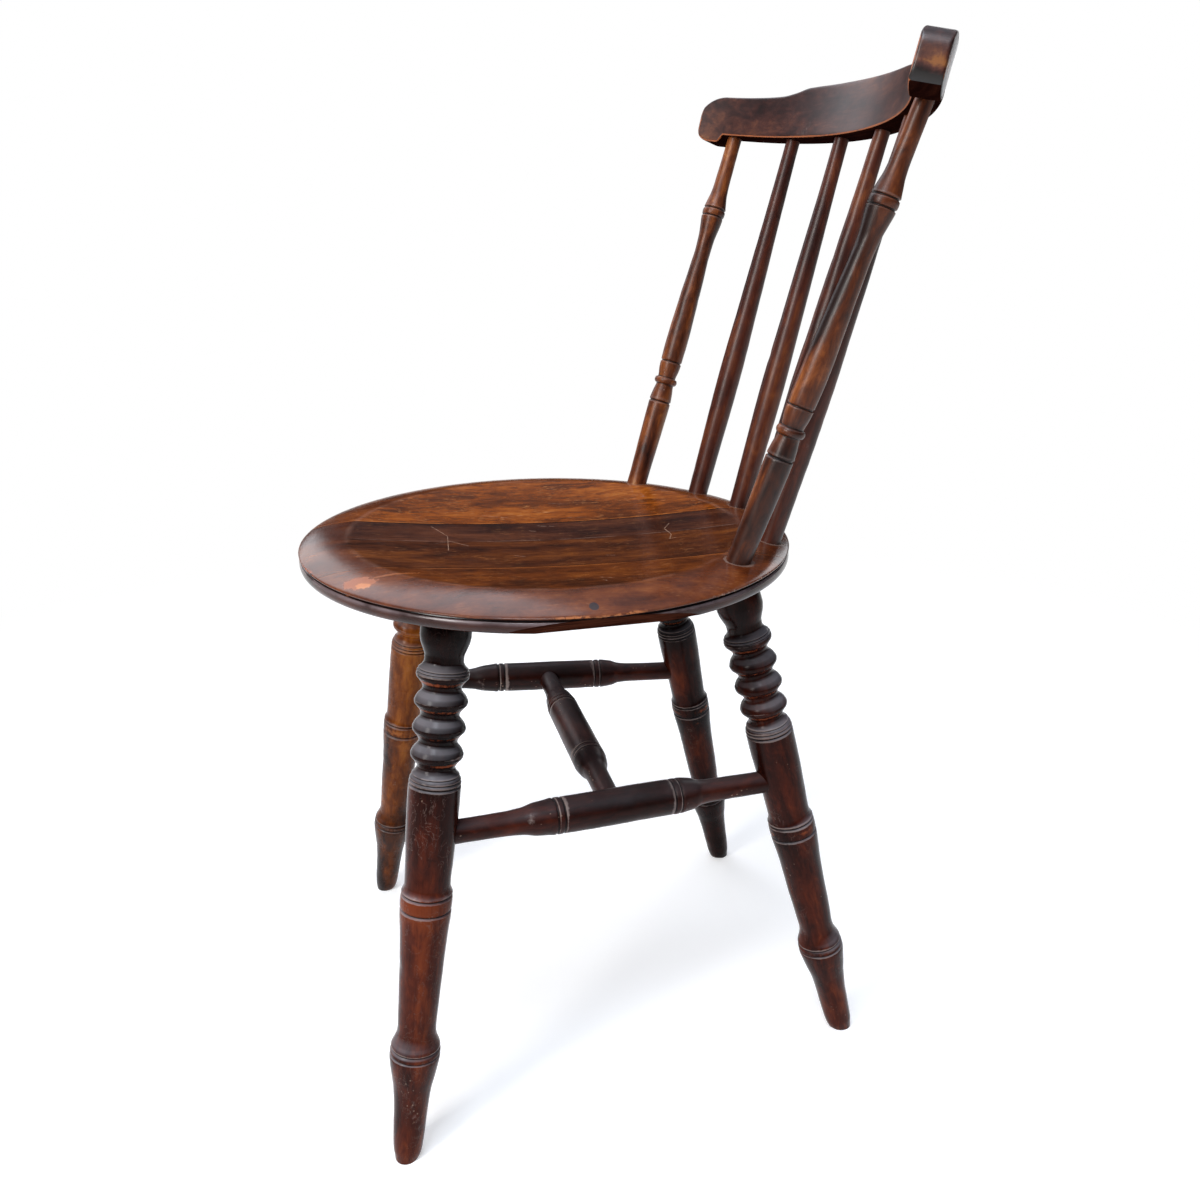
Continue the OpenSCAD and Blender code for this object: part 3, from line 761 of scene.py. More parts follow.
def make_spindles(materials):
    for name, foot_angle, head_angle, seed in (
        ("outer_left_spindle", OUTER_ANGLE, OUTER_HEAD_ANGLE, 41),
        ("inner_left_spindle", INNER_ANGLE, INNER_HEAD_ANGLE, 42),
        ("inner_right_spindle", -INNER_ANGLE, -INNER_HEAD_ANGLE, 43),
        ("outer_right_spindle", -OUTER_ANGLE, -OUTER_HEAD_ANGLE, 44),
    ):
        foot, head = polar(SPINDLE_FOOT_AT, foot_angle, SEAT_H), rail_seat(head_angle)
        turned(name, foot, head, spindle_profile((head - foot).length), materials[name], seed,
               cut_low=SEAT_H - SPINDLE_TENON, dents=8, sides=56)


# ---- Crest rail ----

# The crest is hand cut: it stands highest right of the middle and runs out lower on the left.
CREST_LINE = ((-182, 31.8), (-150, 32.4), (-106, 34.0), (-92, 36.4), (-76, 39.9), (-58, 40.45), (-30, 40.4),
              (0, 39.8), (40, 38.1), (72, 35.8), (92, 33.2), (112, 31.7), (150, 31.5), (182, 31.4))
# Inset and reach of the loops that round off an end.
END_LOOPS = ((0.15, 0.6), (0.35, 1.2), (0.6, 1.8), (0.9, 2.3), (1.2, 2.65), (1.6, 2.88), (2.1, 3.0))
RUBBED_REACH = 2.0
FACE_ROWS = 22


def rail_top(x):
    """Height of the rail's top edge, with the crest and the rounded ends."""
    top = float(monotone_cubic(CREST_LINE, np.array([float(x)]))[0])
    corner = LEFT_CORNER_R if x > 0 else CORNER_R
    inner = RAIL_HALF - corner
    x = abs(x)
    if x > inner:
        top -= corner - math.sqrt(max(0.0, corner ** 2 - (x - inner) ** 2))
    return top


def rail_bottom(x):
    """Height of the rail's bottom edge, with the ear and its rounded corner."""
    x = abs(x)
    ear = RAIL_HALF - EAR_W
    bottom = 0.0
    if x > ear + EAR_RUN:
        bottom = -EAR_DROP
    elif x > ear:
        bottom = -EAR_DROP * (1 - math.cos(math.pi * (x - ear) / EAR_RUN)) / 2
    inner = RAIL_HALF - EAR_R
    if x > inner:
        bottom += EAR_R - math.sqrt(max(0.0, EAR_R ** 2 - (x - inner) ** 2))
    return bottom


def rail_section(x, inset, reach):
    """A closed loop round the rail at x, and how rubbed each of its points is.

    In the rounded end the loop reaches out past x and is inset at its front and back.
    """
    tip = math.copysign(min(abs(x) + reach, RAIL_HALF), x)
    low, high = rail_bottom(tip), rail_top(tip)
    inner = RAIL_R - RAIL_T / 2
    along = math.asin(x / inner)
    cut = along * END_CUT / math.degrees(math.asin(RAIL_HALF / inner))
    front = Vector((x, math.sqrt(inner * inner - x * x) - RAIL_R))
    through = Vector((math.sin(cut), math.cos(cut)))
    outward = Vector((math.cos(cut), -math.sin(cut))) * math.copysign(1, x)
    near, far = inset, RAIL_T / math.cos(along - cut) - inset
    edge = min(RAIL_EDGE, (high - low) / 2 * 0.9)
    # Up the front, over the top, down the back and under; the front's lower edge is rubbed most.
    quarter = [(edge * (1 - math.cos(a)), edge * (1 - math.sin(a))) for a in np.linspace(0, math.pi / 2, 6)]
    face = np.linspace(low + edge, high - edge, FACE_ROWS)
    across = np.linspace(near + edge, far - edge, 8)[1:-1]
    section = [(near, w, 0.0) for w in face]
    section += [(near + q, high - w, 0.45) for q, w in quarter[1:]]
    section += [(q, high, 0.1) for q in across]
    section += [(far - q, high - w, 0.45) for q, w in quarter[::-1]]
    section += [(far, w, 0.0) for w in face[-2::-1]]
    section += [(far - q, low + w, 0.4) for q, w in quarter[1:]]
    section += [(q, low, 0.0) for q in across[::-1]]
    section += [(near + q, low + w, 1.5) for q, w in quarter[:0:-1]]
    loop = [(*(front + through * q + outward * reach), w) for q, w, rub in section]
    return loop, [rub for q, w, rub in section]


def closed_end(ring, row_start, first_new, flip):
    """Shrinking loops that close an end evenly: their points and faces."""
    centre = ring.mean(0)
    count = len(ring)
    points, faces = [], []
    previous = [row_start + j for j in range(count)]
    for share in (0.75, 0.5, 0.25):
        now = [first_new + len(points) + j for j in range(count)]
        points += [tuple(centre + (point - centre) * share) for point in ring]
        faces += [(previous[j - 1], previous[j], now[j], now[j - 1]) for j in range(count)]
        previous = now
    points.append(tuple(centre))
    faces += [(previous[j - 1], previous[j], first_new + len(points) - 1) for j in range(count)]
    return points, [face[::-1] for face in faces] if flip else faces


def make_rail(material, bare_material):
    tip = RAIL_HALF - END_ROUND
    ear = RAIL_HALF - EAR_W
    stations = {*(np.sin(np.linspace(-1, 1, 221) * math.pi / 2) * tip)}
    stations = sorted(stations | {-ear, ear, -ear - EAR_RUN, ear + EAR_RUN})
    cuts = [(-tip, *loop) for loop in END_LOOPS[::-1]]
    cuts += [(x, 0.0, 0.0) for x in stations]
    cuts += [(tip, *loop) for loop in END_LOOPS]
    sections = [rail_section(*cut) for cut in cuts]
    verts = np.array([loop for loop, rubs in sections], float)
    columns, count = verts.shape[:2]
    x_along = np.array([math.copysign(RAIL_HALF, x) if reach else x for x, inset, reach in cuts])[:, None]
    around = np.linspace(0, 2 * np.pi, count, endpoint=False)[None, :]
    verts[:, :, 1] += 0.18 * ripple(around, x_along, 51, 8, 120)
    faces = []
    for i in range(columns - 1):
        for j in range(count):
            k = (j + 1) % count
            faces.append((i * count + j, (i + 1) * count + j, (i + 1) * count + k, i * count + k))
    points = verts.reshape(-1, 3)
    for row_start, flip in ((0, False), ((columns - 1) * count, True)):
        ring = points[row_start:row_start + count]
        more_points, more_faces = closed_end(ring, row_start, len(points), flip)
        points = np.concatenate([points, more_points])
        faces += more_faces
    # The ends are rubbed along their front and back edges.
    back = range(FACE_ROWS + 18, 2 * FACE_ROWS + 16)
    end_rubs = [1.3 if j < FACE_ROWS else 0.8 if j in back else 0.0 for j in range(count)]
    wear = np.zeros(len(points))
    for row, ((x, inset, reach), (loop, rubs)) in enumerate(zip(cuts, sections)):
        if reach < RUBBED_REACH:
            wear[row * count:(row + 1) * count] = np.multiply(end_rubs if reach else rubs, 0.55)
    # The left end face is painted lighter gold in its middle, a painted reflection where it begins to turn
    # down, and painted black below, painted shade where it turns under.
    tone = np.interp(points[:, 2], [-6, 1, 5, 9, 13, 22], [-0.85, -0.7, -0.1, 0.4, 0.2, 0.0])
    tone[points[:, 0] <= RAIL_HALF - 4] = 0.0
    c, s = cos(RAIL_LEAN), sin(RAIL_LEAN)
    lean = Matrix(((1, 0, 0, 0), (0, c, s, 0), (0, -s, c, 0), (0, 0, 0, 1)))
    place = Matrix.Rotation(math.radians(RAIL_TURN), 4, "Z") @ lean
    place.translation = world((0, RAIL_Y, SEAT_H + RAIL_H))
    marks = {"wear": wear, "tone": tone, "speck": np.ones(len(points))}
    rail = make_piece("crest_rail", points * MM, faces, place, marks, material, sharp=75)
    add_underside(rail, bare_material)


# ---- Seat ----

QUIRK_H = 1.5
QUIRK_D = 2.6
BAND_HALF = 4.1
BAND_IN = 2.0
RIM_START = SEAT_R - RIM_W
BEYOND = SEAT_R + 60
SEAT_SIDES = 288


def rim_drop(share):
    """Fall of the rim from its crest at a share of its width: a slope that ends in a round nose."""
    return RIM_H * (0.62 * share ** 1.5 + 0.38 * (1 - math.sqrt(1 - share * share)))


def seat_profile():
    """Half section of the seat from the middle of the top to the middle of the underside."""
    nose = SEAT_H - RIM_H
    quirk_top = nose - 1.4
    band_mid = quirk_top - QUIRK_H - BAND_HALF
    dish = [*np.arange(0, RIM_START - 12, 8), *np.arange(RIM_START - 10, RIM_START, 2)]
    shares = [0.0, 0.015, 0.04, 0.08, *np.sin(np.linspace(0.12, math.pi / 2, 26))]
    pts = [(r, SEAT_H - DISH * (1 - (r / RIM_START) ** 2)) for r in dish]
    pts += [(RIM_START + RIM_W * share, SEAT_H - rim_drop(share)) for share in shares]
    pts += [(SEAT_R - 0.1, nose - 0.5), (SEAT_R - 0.45, quirk_top + 0.3), (SEAT_R - 0.9, quirk_top)]
    pts += [(SEAT_R - QUIRK_D, quirk_top - 0.15), (SEAT_R - QUIRK_D - 0.3, quirk_top - QUIRK_H / 2),
            (SEAT_R - QUIRK_D, quirk_top - QUIRK_H + 0.1)]
    pts += [(SEAT_R - BAND_IN * (1 - cos(a)), band_mid + BAND_HALF * sin(a)) for a in range(84, -91, -12)]
    pts += [(SEAT_R - 3.4, band_mid - BAND_HALF - 0.4), (SEAT_R - 13, UNDER_H)]
    pts += [(r, UNDER_H) for r in (176, 160, 130, 100, 60, 0)]
    return pts


def seat_feet():
    """Places where the posts and spindles stand, in the seat's own turned frame."""
    back = Matrix.Rotation(math.radians(GRAIN_TURN), 4, "Z")
    spindle_angles = (OUTER_ANGLE, INNER_ANGLE, -INNER_ANGLE, -OUTER_ANGLE)
    return ([back @ polar(POST_FOOT_AT, angle, 0) for angle in (POST_ANGLE, -POST_ANGLE)]
            + [back @ polar(SPINDLE_FOOT_AT, angle, 0) for angle in spindle_angles])


# Knocks along the lower edge of the nose: from and to which angle, how sparse, and their colour.
NOSE_KNOCKS = ((-1.83, -1.10, 0.44, "#a0502a"), (-0.06, 0.24, 0.44, "#b8703e"), (0.52, 1.0, 0.54, "#a8826c"))
# Ovals of a patch rubbed through to orange wood, with a tail along the glue line.
RUBBED_PATCH = (((121, -143), 1.25, (12, 9), "#a4572a"), ((114, -119), 1.75, (17, 1.6), "#96521f"),
                ((127, -140), 1.0, (6, 3.5), "#c98050"))


def seat_surface(edges):
    """Rim, band, quirk, glue lines, foot rings and old knocks of the seat, on every board alike, with a
    painted sheen on the band and painted shade in the quirk.
    """

    def surface(look, colour, height, rough, ragged, patchy):
        x, y, z = look.axes()
        radius = look.math("SQRT", look.total(look.product(x, x), look.product(y, y)))
        angle = look.math("ARCTAN2", y, x)

        def window(value, low, high, soft):
            return look.product(look.step(value, low - soft, low + soft),
                                look.step(value, high + soft, high - soft))

        # Glue lines: a rubbed or dark edge of the board beside each.
        for at, code, share in edges:
            line = look.step(look.math("ABSOLUTE", look.math("SUBTRACT", x, at * MM)), 1.3 * MM, 0.4 * MM)
            colour = look.mix(look.product(line, look.step(patchy, 0.36, 0.52), share), colour, srgb(code))
        # The rim took the stain redder. Its inner crest is painted paler, partly rubbed and partly a painted
        # highlight along the crest.
        rim_wood = look.ramp(look.total(0.5, look.sway(patchy, 1.4), look.sway(ragged, 0.4)), RIM_STAIN)
        uneven = look.total(radius, look.sway(patchy, 12 * MM))
        rim = look.step(uneven, (RIM_START - 4) * MM, (RIM_START + 8) * MM)
        colour = look.mix(look.product(rim, 0.5), colour, rim_wood)
        crest = window(radius, (RIM_START - 2) * MM, (RIM_START + 2) * MM, 2.2 * MM)
        colour = look.mix(look.product(crest, look.step(patchy, 0.3, 0.7), 0.22), colour, srgb("#a27c6c"))
        # Band and quirk under the nose, kept off the dished middle, which lies as low. The band's faces that
        # look up get a painted grey sheen, and the quirk is painted near black as painted shade.
        outer = look.step(radius, (SEAT_R - 20) * MM, (SEAT_R - 16) * MM)
        under = look.product(look.step(z, -8.8 * MM, -9.6 * MM), outer)
        band_wood = look.ramp(look.total(0.5, look.sway(patchy, 1.2)), BAND_STAIN)
        colour = look.mix(look.product(under, 0.95), colour, band_wood)
        # Painted sheen: the band's faces that look up are lightened grey, standing in for the highlight of
        # the lamps above.
        rise = look.axes(look.add("NewGeometry").outputs["Normal"])[2]
        painted_sheen_mask = look.product(under, window(rise, 0.25, 0.85, 0.2), look.step(patchy, 0.3, 0.6, 0.2, 1.0), 0.4)
        colour = look.mix(painted_sheen_mask, colour, srgb("#a3979a"))
        # Painted shade: the recess of the quirk is painted near black.
        quirk = look.product(window(z, -10.6 * MM, -9.0 * MM, 0.4 * MM), outer)
        colour = look.mix(look.product(quirk, 0.9), colour, srgb("#060202"))
        nose = window(look.total(z, look.sway(patchy, 4 * MM)), -9.4 * MM, -7.0 * MM, 0.6 * MM)
        nose = look.product(nose, outer)
        for low, high, cut, code in NOSE_KNOCKS:
            chipped = look.product(nose, window(angle, low, high, 0.03), look.step(ragged, cut, cut + 0.08))
            colour = look.mix(look.product(chipped, 0.85), colour, srgb(code))
            height = look.total(height, look.product(chipped, -0.6))
        for centre, turn, size, code in RUBBED_PATCH:
            mark = look.spot(centre, turn, size, ragged, 1.6)
            colour = look.mix(look.product(mark, 0.75), colour, srgb(code))
            rough = look.total(rough, look.product(mark, 0.1))
        burn = look.spot((189.2, 14.5), 0.0, (4.6, 3.4), ragged, 0.3)
        colour = look.mix(look.product(burn, 0.9), colour, srgb("#2b282c"))
        for a, b, width in SCRATCHES:
            mark = look.product(look.stroke(a, b, width * 0.75), look.step(ragged, 0.4, 0.5, 0.3, 1.0))
            colour = look.mix(look.product(mark, 0.5), colour, srgb("#c9a58c"))
            height = look.total(height, look.product(mark, -0.8))
        # Pale wax and dust round the feet of the posts and spindles, on the top only.
        level = look.add("CombineXYZ", {0: x, 1: y}).outputs[0]
        top = look.step(z, -7.0 * MM, -6.0 * MM)
        for foot in seat_feet():
            gap = look.add("VectorMath", {0: level, 1: (foot.x * MM, foot.y * MM, 0)}, operation="DISTANCE")
            reach = look.total(gap.outputs["Value"], look.sway(ragged, 4 * MM))
            ring = look.product(window(reach, 8.5 * MM, 11.6 * MM, 0.8 * MM), top)
            colour = look.mix(look.product(ring, 0.5), colour, srgb("#8d7a70"))
        return colour, height, rough

    return surface


def seat_disc(points):
    """The whole seat as a disc, turned from its half section."""
    disc = bmesh.new()
    rings = []
    angles = np.linspace(0, 2 * np.pi, SEAT_SIDES, endpoint=False)
    for r, z in points:
        turns = angles if r else angles[:1]
        rings.append([disc.verts.new((r * math.cos(a), r * math.sin(a), z - SEAT_H)) for a in turns])
    for a, b in zip(rings, rings[1:]):
        for j in range(SEAT_SIDES):
            k = (j + 1) % SEAT_SIDES
            if len(a) == 1:
                disc.faces.new((a[0], b[j], b[k]))
            elif len(b) == 1:
                disc.faces.new((a[k], a[j], b[0]))
            else:
                disc.faces.new((a[j], b[j], b[k], a[k]))
    return disc


def saw(solid, spot, way):
    """Cut off what lies beyond a plane and close the cut."""
    cut = bmesh.ops.bisect_plane(solid, geom=solid.verts[:] + solid.edges[:] + solid.faces[:], plane_co=spot,
                                 plane_no=way, clear_outer=True, dist=0.0001)
    rim = [e for e in cut["geom_cut"] if isinstance(e, bmesh.types.BMEdge) and e.is_valid and e.is_boundary]
    if rim:
        bmesh.ops.holes_fill(solid, edges=rim, sides=0)


def make_seat(materials):
    """Four boards, each cut out of the same disc; each cups and sits a hair differently."""
    points = seat_profile()
    turn = Matrix.Rotation(math.radians(-GRAIN_TURN), 4, "Z")
    place = turn.copy()
    place.translation = world((0, 0, SEAT_H))
    # The bevel planed off under the left edge.
    back = turn.inverted().to_3x3()
    slope = math.atan2(BEVEL_RISE, BEVEL_W)
    bevel_spot = back @ Vector((SEAT_R, 0, UNDER_H - SEAT_H + BEVEL_RISE))
    bevel_way = back @ Vector((math.sin(slope), 0, -math.cos(slope)))
    for name, low, high, sink in (
        ("seat_board_right", -BEYOND, JOINTS[0], 0.0), ("seat_board_inner_right", JOINTS[0], JOINTS[1], 0.1),
        ("seat_board_inner_left", JOINTS[1], JOINTS[2], 0.0), ("seat_board_left", JOINTS[2], BEYOND, 0.05),
    ):
        board = seat_disc(points)
        saw(board, Vector((low, 0, 0)), Vector((-1, 0, 0)))
        saw(board, Vector((high, 0, 0)), Vector((1, 0, 0)))
        saw(board, bevel_spot, bevel_way)
        bmesh.ops.triangulate(board, faces=[f for f in board.faces if len(f.verts) > 4])
        board.normal_update()
        smooth = [abs(f.normal.dot(bevel_way)) <= 0.999 and abs(f.normal.x) <= 0.999 for f in board.faces]
        board.verts.index_update()
        verts = np.array([v.co for v in board.verts])
        faces = [tuple(v.index for v in f.verts) for f in board.faces]
        board.free()
        middle = (max(low, -SEAT_R) + min(high, SEAT_R)) / 2
        width = (min(high, SEAT_R) - max(low, -SEAT_R)) / 2
        top = verts[:, 2] > -8.5
        verts[top, 2] -= 0.12 * ((verts[top, 0] - middle) / width) ** 2 + sink
        # The planed bevel is plain cut wood, a little worn.
        from_bevel = np.abs((verts - np.array(bevel_spot)) @ np.array(bevel_way))
        marks = {"wear": np.where(from_bevel < 0.05, 0.3, 0.0), "speck": np.ones(len(verts))}
        piece = make_piece(name, verts * MM, faces, place, marks, materials[name], sharp=32)
        piece.data.polygons.foreach_set("use_smooth", smooth)
        piece.data.update()
        add_underside(piece, materials["seat_underside"])


# ---- Materials ----

DARK_STAIN = ((0.1, "#0b0202"), (0.35, "#1c0704"), (0.55, "#301009"), (0.75, "#4c1d0f"), (0.95, "#6e3016"))
RED_STAIN = ((0.1, "#0c0302"), (0.4, "#220a06"), (0.6, "#3a140b"), (0.9, "#642a14"))
SPINDLE_STAIN = ((0.1, "#180604"), (0.4, "#34140c"), (0.6, "#4e2214"), (0.9, "#784020"))
GOLD_STAIN = ((0.1, "#1c0804"), (0.35, "#3c1a0c"), (0.55, "#5c2c13"), (0.75, "#824620"), (0.95, "#a86c34"))
LEG_GOLD = ((0.1, "#200a03"), (0.35, "#45200a"), (0.55, "#64300c"), (0.75, "#834616"), (0.95, "#9c5c22"))
RIM_STAIN = ((0.2, "#33140b"), (0.45, "#562716"), (0.65, "#70391e"), (0.85, "#8a4e28"))
BAND_STAIN = ((0.2, "#1c0a07"), (0.5, "#331510"), (0.8, "#4c2418"))
RAIL_BARE_STAIN = ((0.2, "#0e0504"), (0.5, "#1e0b08"), (0.8, "#32170f"))
BARE_STAIN = ((0.2, "#1c0c08"), (0.5, "#3a1c13"), (0.8, "#583021"))
RAIL_STAIN = ((0.1, "#0e0504"), (0.35, "#2c1411"), (0.55, "#43231c"), (0.75, "#5e3626"), (0.95, "#86542e"))
FAR_BOARD = ((0.15, "#391605"), (0.38, "#602c07"), (0.52, "#7b3b0c"), (0.68, "#954d14"), (0.88, "#b06626"))
DARK_BOARD = ((0.12, "#1a0b07"), (0.38, "#34170e"), (0.58, "#482415"), (0.8, "#61341e"), (0.95, "#7c4626"))
BROWN_BOARD = ((0.12, "#220d06"), (0.36, "#421d0b"), (0.55, "#572a10"), (0.75, "#703b16"), (0.95, "#8e5423"))
NEAR_BOARD = ((0.12, "#280f05"), (0.36, "#4a2109"), (0.55, "#612d0c"), (0.75, "#7a3f14"), (0.95, "#945623"))
# Scratches on the seat, by their ends and width in the seat's own frame.
SCRATCHES = (
    ((-27, -96), (2, -82), 0.9), ((2, -82), (46, -81), 0.9), ((16, -81), (31, -65), 0.8),
    ((18, -80), (24, -92), 0.7), ((-7, 106), (7, 99), 0.9), ((7, 99), (26, 101), 1.0),
    ((26, 101), (39, 97), 0.9), ((39, 95), (37, 103), 0.9), ((135, 26), (139, 36), 1.0),
    ((143, 27), (146, 30), 1.2), ((-12, -14), (-9, -8), 0.8), ((-26, -6), (-23, 2), 0.8),
    ((-24, 4), (-22, 9), 0.7), ((61, -31), (66, -22), 0.7), ((72, 40), (74, 47), 0.7),
    ((-60, -52), (-52, -30), 0.6), ((-92, 10), (-88, 26), 0.6), ((-48, 22), (-45, 40), 0.6),
)


def make_materials():
    looks = {}
    # Turned birch, stained near black-red and shellacked: dark and deep, with a painted blue-grey
    # sheen on the shoulders, pale scuffs and rubbed, redder rings.
    for seed, name in enumerate(("front_left_leg", "rear_left_leg"), 1):
        looks[name] = polished_wood(
            "shellacked_dark_birch_" + name, "Z", DARK_STAIN, seed, gloss=0.2, shine=0.08, scuff=0.12,
            chips=0.04, painted_sheen=0.5)
    looks["rear_right_leg"] = polished_wood(
        "shellacked_red_birch_leg", "Z", RED_STAIN, 4, gloss=0.22, shine=0.07, figure=1.5, scuff=0.04,
        painted_sheen=0.3)
    looks["front_right_leg"] = polished_wood(
        "shellacked_golden_birch_leg", "Z", LEG_GOLD, 5, figure=1.6, cloud=0.9, worn="#9c5a28", chips=0.03,
        painted_sheen=0.3, dust_and_glint=0.3)
    for seed, name in enumerate(("left_side_stretcher", "right_side_stretcher", "middle_stretcher"), 7):
        looks[name] = polished_wood(
            "shellacked_dark_birch_" + name, "Z", DARK_STAIN, seed, gloss=0.36, shine=0.13, worn="#6a341f",
            chips=0.09, painted_sheen=0.1, dust_and_glint=0.6)
    # Posts of a paler golden stain, clouded with dark polish.
    for seed, name in enumerate(("left_back_post", "right_back_post"), 11):
        looks[name] = polished_wood(
            "shellacked_golden_birch_" + name, "Z", GOLD_STAIN, seed, gloss=0.38, shine=0.35, figure=1.6,
            cloud=1.0, worn="#a86a3a", chips=0.02, dust_and_glint=0.12)
    # Spindles of a plain red-brown stain, with a long soft shine.
    for seed, name in enumerate(("outer_left_spindle", "inner_left_spindle", "inner_right_spindle",
                                 "outer_right_spindle"), 14):
        looks[name] = polished_wood(
            "shellacked_red_birch_" + name, "Z", SPINDLE_STAIN, seed, gloss=0.38, shine=0.35, figure=1.2,
            worn="#84472a")
    # The rail's polish is rubbed by hands: a satin face and orange edges.
    looks["crest_rail"] = polished_wood(
        "hand_rubbed_rail_birch", "X", RAIL_STAIN, 20, gloss=0.36, shine=0.5, figure=1.2, streak=0.5,
        worn="#b4622e")
    # Seat boards: the same birch, each with its own figure, under a thicker, glossier French polish.
    polish = {"gloss": 0.2, "shine": 0.34}
    looks["seat_board_right"] = polished_wood(
        "french_polished_golden_seat_birch", "Y", FAR_BOARD, 24, figure=1.1, streak=0.3, cloud=1.0,
        worn="#a8642f", pale=0.75, surface=seat_surface(((-36.2, "#b86c30", 0.6),)), **polish)
    looks["seat_board_inner_right"] = polished_wood(
        "french_polished_dark_seat_birch", "Y", DARK_BOARD, 25, figure=1.2, streak=0.6, cloud=0.6, pale=0.25,
        surface=seat_surface(((-34.2, "#0a0403", 0.85), (17.0, "#a08070", 0.28))), **polish)
    looks["seat_board_inner_left"] = polished_wood(
        "french_polished_brown_seat_birch", "Y", BROWN_BOARD, 26, figure=1.1, streak=0.5, cloud=0.9, pale=0.3,
        surface=seat_surface(((18.8, "#140705", 0.6), (94.8, "#160805", 0.5))), **polish)
    looks["seat_board_left"] = polished_wood(
        "french_polished_near_seat_birch", "Y", NEAR_BOARD, 27, figure=1.1, streak=0.4, cloud=1.0, pale=0.3,
        surface=seat_surface(((97.2, "#9c5a2c", 0.5),)), **polish)
    looks["seat_underside"] = bare_wood("bare_stained_seat_underside_birch", "Y", BARE_STAIN, 31)
    looks["rail_underside"] = bare_wood("bare_stained_rail_underside_birch", "X", RAIL_BARE_STAIN, 32)
    return looks


# ---- Floor, light and camera ----

FLOOR_HALF = 9.0
FLOOR_LIFT = 0.42
WHITE = (1, 1, 1, 1)


def make_floor():
    """Pale floor that keeps the chair's shadow near it and runs out into the white backdrop."""
    mesh = bpy.data.meshes.new("floor")
    corners = [(x * FLOOR_HALF, y * FLOOR_HALF, 0) for x, y in ((-1, -1), (1, -1), (1, 1), (-1, 1))]
    mesh.from_pydata(corners, [], [(0, 1, 2, 3)])
    floor = bpy.data.objects.new("floor", mesh)
    bpy.context.scene.collection.objects.link(floor)
    look = Look(bpy.data.materials.new("pale_plain_floor"))
    paint = look.add("BsdfDiffuse", {"Color": (0.8, 0.8, 0.8, 1)})
    lift = look.add("Emission", {"Color": WHITE, "Strength": FLOOR_LIFT})
    lit = look.add("AddShader", {0: paint.outputs[0], 1: lift.outputs[0]})
    white = look.add("Emission", {"Color": WHITE, "Strength": 1.0})
    spot = look.add("NewGeometry").outputs["Position"]
    reach = look.add("VectorMath", {0: spot}, operation="LENGTH").outputs["Value"]
    near = look.add("MixShader", {0: look.step(reach, 0.55, 1.5), 1: lit.outputs[0], 2: white.outputs[0]})
    rays = look.add("LightPath")
    seen = look.math("MAXIMUM", rays.outputs["Is Camera Ray"],
                     look.math("MAXIMUM", rays.outputs["Is Glossy Ray"], rays.outputs["Is Transmission Ray"]))
    both = look.add("MixShader", {0: seen, 1: paint.outputs[0], 2: near.outputs[0]})
    look.add("OutputMaterial", {"Surface": both.outputs[0]})
    mesh.materials.append(look.owner)


SKY = ((0.0, (0.02, 0.017, 0.016)), (0.3, (0.026, 0.022, 0.022)), (0.6, (0.32, 0.34, 0.38)),
       (1.0, (0.72, 0.78, 0.90)))


def make_world():
    """White to look at; what lights the chair and shines in its polish is a studio, dark at eye height."""
    sky = bpy.data.worlds.new("studio")
    bpy.context.scene.world = sky
    look = Look(sky)
    place = look.add("TexCoord").outputs["Generated"]
    height = look.add("SeparateXYZ", {0: place}).outputs["Z"]
    band = look.add("ValToRGB", {0: height})
    while len(band.color_ramp.elements) < len(SKY):
        band.color_ramp.elements.new(0.5)
    for element, (at, colour) in zip(band.color_ramp.elements, SKY):
        element.position = at
        element.color = (*colour, 1)
    dim = look.add("Background", {"Color": band.outputs[0], "Strength": 1.0})
    white = look.add("Background", {"Color": WHITE, "Strength": 1.0})
    rays = look.add("LightPath")
    seen = look.math("MAXIMUM", rays.outputs["Is Camera Ray"], rays.outputs["Is Transmission Ray"])
    mix = look.add("MixShader", {0: seen, 1: dim.outputs[0], 2: white.outputs[0]})
    look.add("OutputWorld", {"Surface": mix.outputs[0]})


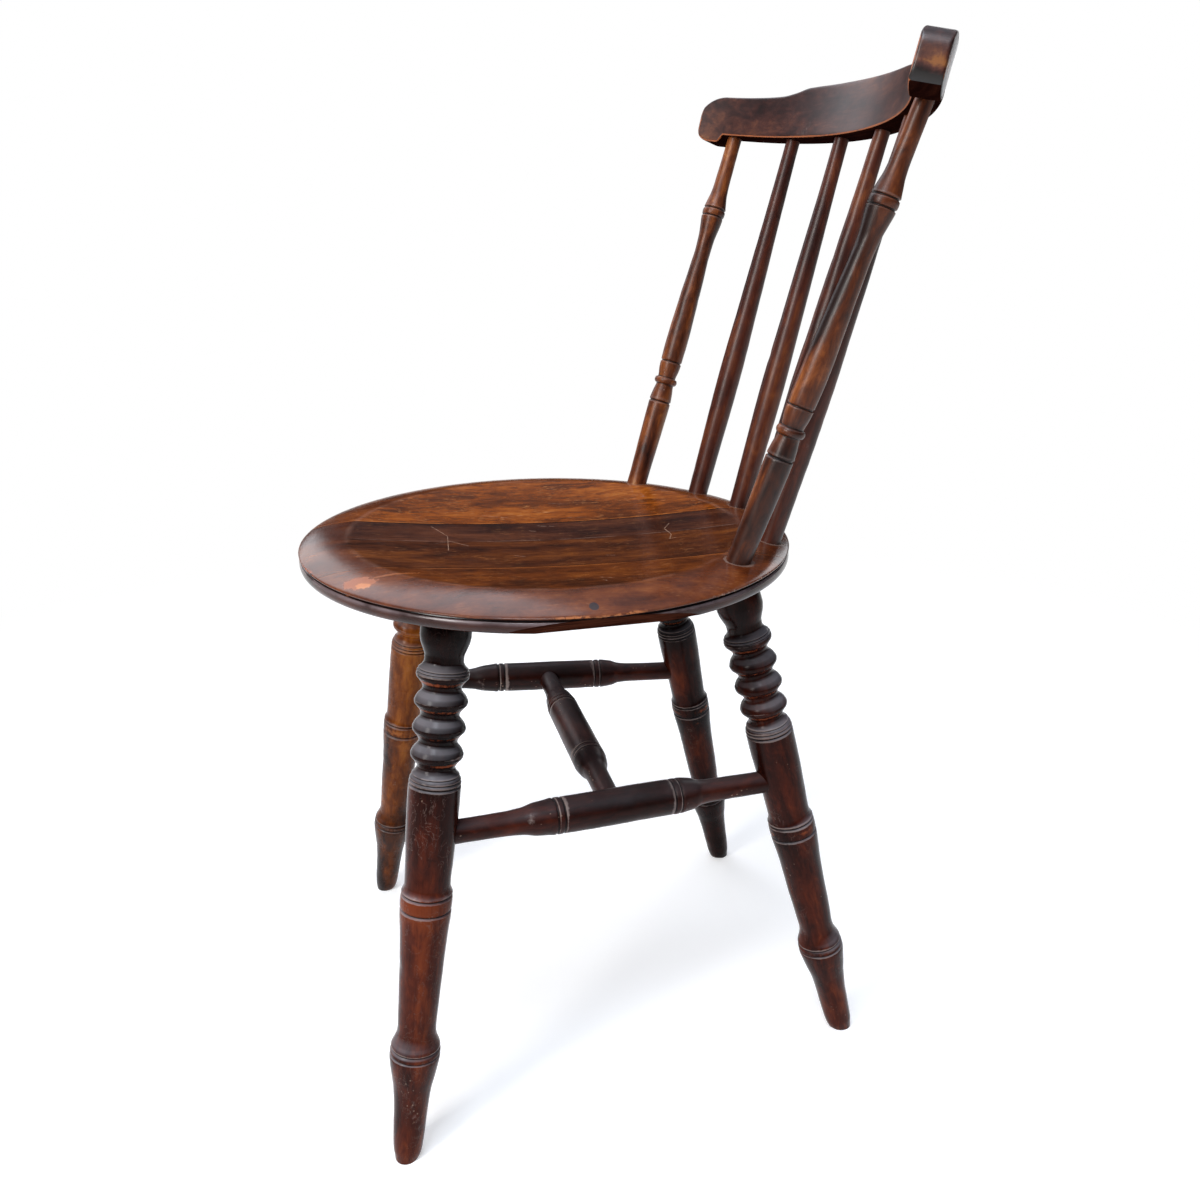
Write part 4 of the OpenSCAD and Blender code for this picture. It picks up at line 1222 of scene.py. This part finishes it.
# Name, place, aim, size, watts and colour of each soft lamp.
LAMPS = (
    ("window_lamp", (1.1, -1.9, 1.6), (0, 0, 0.45), (0.6, 1.1), 38, (1.0, 0.97, 0.93)),
    ("sky_lamp", (0.75, -0.5, 2.2), (0, 0, 0.4), (0.6, 0.8), 20, (0.84, 0.91, 1.0)),
    ("far_sky_lamp", (-0.95, -0.25, 1.8), (0.1, 0, 0.45), (1.0, 1.2), 8.5, (0.88, 0.92, 1.0)),
    ("far_window_lamp", (-1.9, -0.85, 1.3), (0, 0.2, 0.75), (0.9, 1.1), 6, (0.95, 0.96, 1.0)),
    ("back_lamp", (-1.3, 1.5, 1.3), (0, 0, 0.5), (0.5, 0.9), 4, (0.95, 0.97, 1.0)),
)
CAMERA_AT = (0.784193, -0.205522, 0.678010)
CAMERA_AIM = (0.0, 0.005166, 0.383282)
CAMERA_LENS = 29.759


def make_lamp(name, spot, aim, size, power, colour):
    lamp = bpy.data.lights.new(name, "AREA")
    lamp.shape = "RECTANGLE"
    lamp.size, lamp.size_y = size
    lamp.energy = power
    lamp.color = colour
    thing = bpy.data.objects.new(name, lamp)
    bpy.context.scene.collection.objects.link(thing)
    thing.location = spot
    thing.rotation_euler = (Vector(aim) - Vector(spot)).to_track_quat("-Z", "Y").to_euler()


def make_camera():
    data = bpy.data.cameras.new("camera")
    data.lens = CAMERA_LENS
    data.sensor_width = 36.0
    data.clip_start = 0.01
    camera = bpy.data.objects.new("camera", data)
    bpy.context.scene.collection.objects.link(camera)
    camera.location = CAMERA_AT
    camera.rotation_euler = (Vector(CAMERA_AIM) - Vector(CAMERA_AT)).to_track_quat("-Z", "Y").to_euler()
    bpy.context.scene.camera = camera


materials = make_materials()
make_legs(materials)
make_stretchers(materials)
make_posts(materials)
make_spindles(materials)
make_rail(materials["crest_rail"], materials["rail_underside"])
make_seat(materials)
make_floor()
make_world()
for lamp in LAMPS:
    make_lamp(*lamp)
make_camera()
bpy.context.scene.view_settings.view_transform = "Standard"
